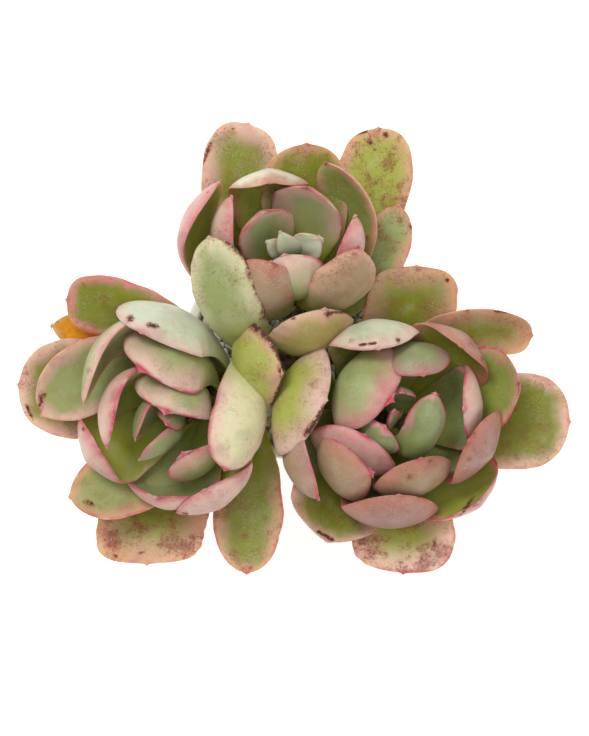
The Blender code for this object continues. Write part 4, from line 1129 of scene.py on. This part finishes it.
@dataclass
class Fill:
    """The pot's mineral fill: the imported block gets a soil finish, and loose grains lie on it."""

    groups: ShaderGroups
    surface: float
    radius: float
    dome: float = 1.2
    stem_place: tuple[float, float] = (0.0, -2.5)
    stem_room: float = 4.6
    stones: int = 1100
    golden_turn: float = 2.39996
    grain_rings: int = 5
    grain_sides: int = 8
    seed: int = 11

    def grains(self) -> Shell:
        """Loose grains in a sunflower spiral.

        Grain n lies at a turn of n golden angles and at the radius times the square root of its share, moved
        a little. A grain is a ball of a few rings of points, stretched on three axes, knocked out of round and
        turned. The stem's place stays clear.
        """
        rng = np.random.default_rng(self.seed)
        n = np.arange(self.stones)
        reach = np.sqrt((n + 0.5) / self.stones)
        turn = n * self.golden_turn + rng.normal(0, 0.05, self.stones)
        size = rng.uniform(0.55, 1.35, self.stones) * np.where(rng.random(self.stones) < 0.12, 1.35, 1.0)
        far = np.minimum(reach * self.radius, self.radius - size)
        height = self.surface + self.dome * (np.cos(np.pi * reach) - 1) / 4
        height = height + size * rng.uniform(0.05, 0.75, self.stones)
        centre = np.stack([far * np.cos(turn), far * np.sin(turn), height], axis=1)
        theta = np.linspace(0, np.pi, self.grain_rings + 2)[1:-1, None]
        phi = np.linspace(0, 2 * np.pi, self.grain_sides, endpoint=False)[None]
        theta, phi = np.broadcast_arrays(theta, phi)
        ball = np.stack([np.sin(theta) * np.cos(phi), np.sin(theta) * np.sin(phi), np.cos(theta)], -1)
        ball = np.concatenate([ball.reshape(-1, 3), [[0, 0, 1]], [[0, 0, -1]]])
        lump = 1 + rng.uniform(-0.16, 0.16, (self.stones, len(ball), 1))
        axes = rng.uniform(0.7, 1.2, (self.stones, 1, 3)) * (1, 1, 0.75)
        points = ball[None] * lump * axes * size[:, None, None]
        a, b = rng.uniform(0, 2 * np.pi, self.stones), rng.uniform(-0.5, 0.5, self.stones)
        ca, sa, cb, sb = np.cos(a), np.sin(a), np.cos(b), np.sin(b)
        rows = [(ca, -sa * cb, sa * sb), (sa, ca * cb, -ca * sb), (0 * a, sb, cb)]
        spin = np.stack([np.stack(row, 1) for row in rows], axis=1)
        points = np.einsum("nij,nkj->nki", spin, points) + centre[:, None]
        clear = np.hypot(*(centre[:, :2] - self.stem_place).T) > self.stem_room
        kept = points[clear]
        index = np.arange(self.grain_rings * self.grain_sides).reshape(self.grain_rings, self.grain_sides)
        beside = np.roll(index, -1, axis=1)
        quads = np.stack([index[:-1], index[1:], beside[1:], beside[:-1]], -1).reshape(-1, 4)
        top = np.stack([index[0], beside[0], np.full(self.grain_sides, len(ball) - 2)], -1)
        bottom = np.stack([beside[-1], index[-1], np.full(self.grain_sides, len(ball) - 1)], -1)
        shift = (np.arange(len(kept)) * len(ball))[:, None, None]
        faces = (quads[None] + shift).reshape(-1, 4).tolist()
        faces += (np.concatenate([top, bottom])[None] + shift).reshape(-1, 3).tolist()
        tint = np.repeat(rng.random(len(kept)), len(ball))
        return Shell(kept.reshape(-1, 3), faces, {"tint": tint})

    def build(self, frame: dict) -> bpy.types.Object:
        """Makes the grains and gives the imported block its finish."""
        block = frame["nodes"]["grit"]
        block.data.materials.clear()
        block.data.materials.append(self.soil())
        piece = self.grains().piece("loose_grit", self.stone())
        piece.data.set_sharp_from_angle(angle=math.radians(50))
        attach(piece, "root")
        return piece

    def soil(self) -> bpy.types.Material:
        """Packed fines between the grains."""
        made, bench, shader = new_material("packed_fines")
        colour = bench.mix(bench.between(bench.noise(600, 4), 0.4, 0.65), Tone.SOIL, Tone.PUMICE_GREY)
        bench.feed(shader, {
            "Base Color": self.groups.mottled(bench, colour, 0.4, 1200.0),
            "Roughness": 0.95,
            "Normal": self.groups.rough_skin(bench, (2.0, 1.0), 1.0, 1.0),
        })
        return made

    def stone(self) -> bpy.types.Material:
        """Pumice, pale to grey, with a few lava grains."""
        made, bench, shader = new_material("loose_grit")
        tint = bench.mark("tint")
        colour = bench.mix(bench.between(tint, 0.1, 0.8), Tone.PUMICE, Tone.PUMICE_GREY)
        colour = bench.mix(bench.between(tint, 0.93, 0.95), colour, Tone.LAVA)
        bench.feed(shader, {
            "Base Color": self.groups.mottled(bench, colour, 0.3, 1500.0),
            "Roughness": 0.9,
            "Normal": self.groups.rough_skin(bench, (1.0, 1.0), 0.9, 0.5),
        })
        return made


# ---------------------------------------------------------------- the studio


class LightKind(Enum):
    """What a lamp is for."""

    KEY = "key"
    FILL = "fill"
    TOP = "top"


@dataclass
class Studio:
    """A pale table under soft light, seen from straight above."""

    lens_distance: float = 550.0
    subject_height: float = 92.0
    view_height: float = 198.7
    centre: tuple[float, float] = (1.2, -4.9)
    aim_height: float = 80.0
    # How strongly the table glows: painted light that washes out the plant's cast shadow on the table.
    table_glow: float = 0.45
    world_light: float = 0.44

    def build(self) -> None:
        """Sets the table, the light and the camera."""
        self.table()
        self.world()
        self.lamp(LightKind.KEY, (-350, 520, 900), 4.5, 360)
        self.lamp(LightKind.TOP, (60, 60, 1000), 1.8, 600)
        self.lamp(LightKind.FILL, (520, -420, 500), 0.8, 500)
        self.camera()

    def table(self) -> None:
        """A plain pale table top, a little self-lit: its glow is painted light that lifts the plant's shadow
        on it towards white.
        """
        data = bpy.data.meshes.new("table")
        side = 3.0
        corners = [(side * x, side * y, 0) for x, y in ((-1, -1), (1, -1), (1, 1), (-1, 1))]
        data.from_pydata(corners, [], [(0, 1, 2, 3)])
        made, bench, shader = new_material("table")
        white, glow = (1, 1, 1, 1), self.table_glow
        # The emission is painted light: the table glows so the shadow under the plant turns pale.
        bench.feed(shader, {
            "Base Color": Tone.FLOOR, "Roughness": 0.9, "Emission Color": white, "Emission Strength": glow})
        data.materials.append(made)
        floor = bpy.data.objects.new("table", data)
        bpy.context.scene.collection.objects.link(floor)

    def world(self) -> None:
        """Even white light from all round."""
        world = bpy.data.worlds.new("studio")
        world.use_nodes = True
        light = {"Color": (1, 1, 1, 1), "Strength": self.world_light}
        Bench(world.node_tree).feed(world.node_tree.nodes["Background"], light)
        bpy.context.scene.world = world

    def lamp(self, kind: LightKind, place: Vec, watts: float, width: float) -> None:
        """A square soft lamp that looks at the plant."""
        light = bpy.data.lights.new(kind.value, "AREA")
        light.energy = watts
        light.size = width * MM
        lamp = bpy.data.objects.new(kind.value, light)
        way = np.array(place) - (0, 0, self.aim_height)
        lamp.location = [c * MM for c in place]
        flat = math.hypot(way[0], way[1])
        lamp.rotation_euler = (math.atan2(flat, way[2]), 0, math.atan2(way[1], way[0]) + math.pi / 2)
        bpy.context.scene.collection.objects.link(lamp)

    def camera(self) -> None:
        """Looks straight down, with +Y up the frame, which spans the view height at the subject's height."""
        data = bpy.data.cameras.new("camera")
        data.sensor_fit = "VERTICAL"
        data.sensor_height = 36.0
        data.lens = data.sensor_height * self.lens_distance / self.view_height
        data.clip_start, data.clip_end = 0.01, 20.0
        camera = bpy.data.objects.new("camera", data)
        camera.location = [c * MM for c in (*self.centre, self.subject_height + self.lens_distance)]
        bpy.context.scene.collection.objects.link(camera)
        bpy.context.scene.camera = camera


def main() -> None:
    """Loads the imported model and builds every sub-assembly in order."""
    logging.basicConfig(level=logging.INFO, format="%(message)s")
    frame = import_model()
    bpy.context.scene.view_settings.view_transform = "Standard"
    groups = ShaderGroups()
    pot = Pot(groups)
    surface = pot.height - pot.fill_drop
    pieces = [pot.build(), Fill(groups, surface, pot.rim_radius - pot.wall - pot.grain_gap).build(frame)]
    pieces.append(Stem(surface, groups).build())
    for name, head in HEADS.items():
        pieces += Rosette(name, head, LEAVES[name], BUD_LEAVES[name], surface, groups).build()
    Studio().build()
    for piece in pieces:
        LOG.info("%s: %d faces", piece.name, len(piece.data.polygons))


if __name__ == "__main__":
    main()
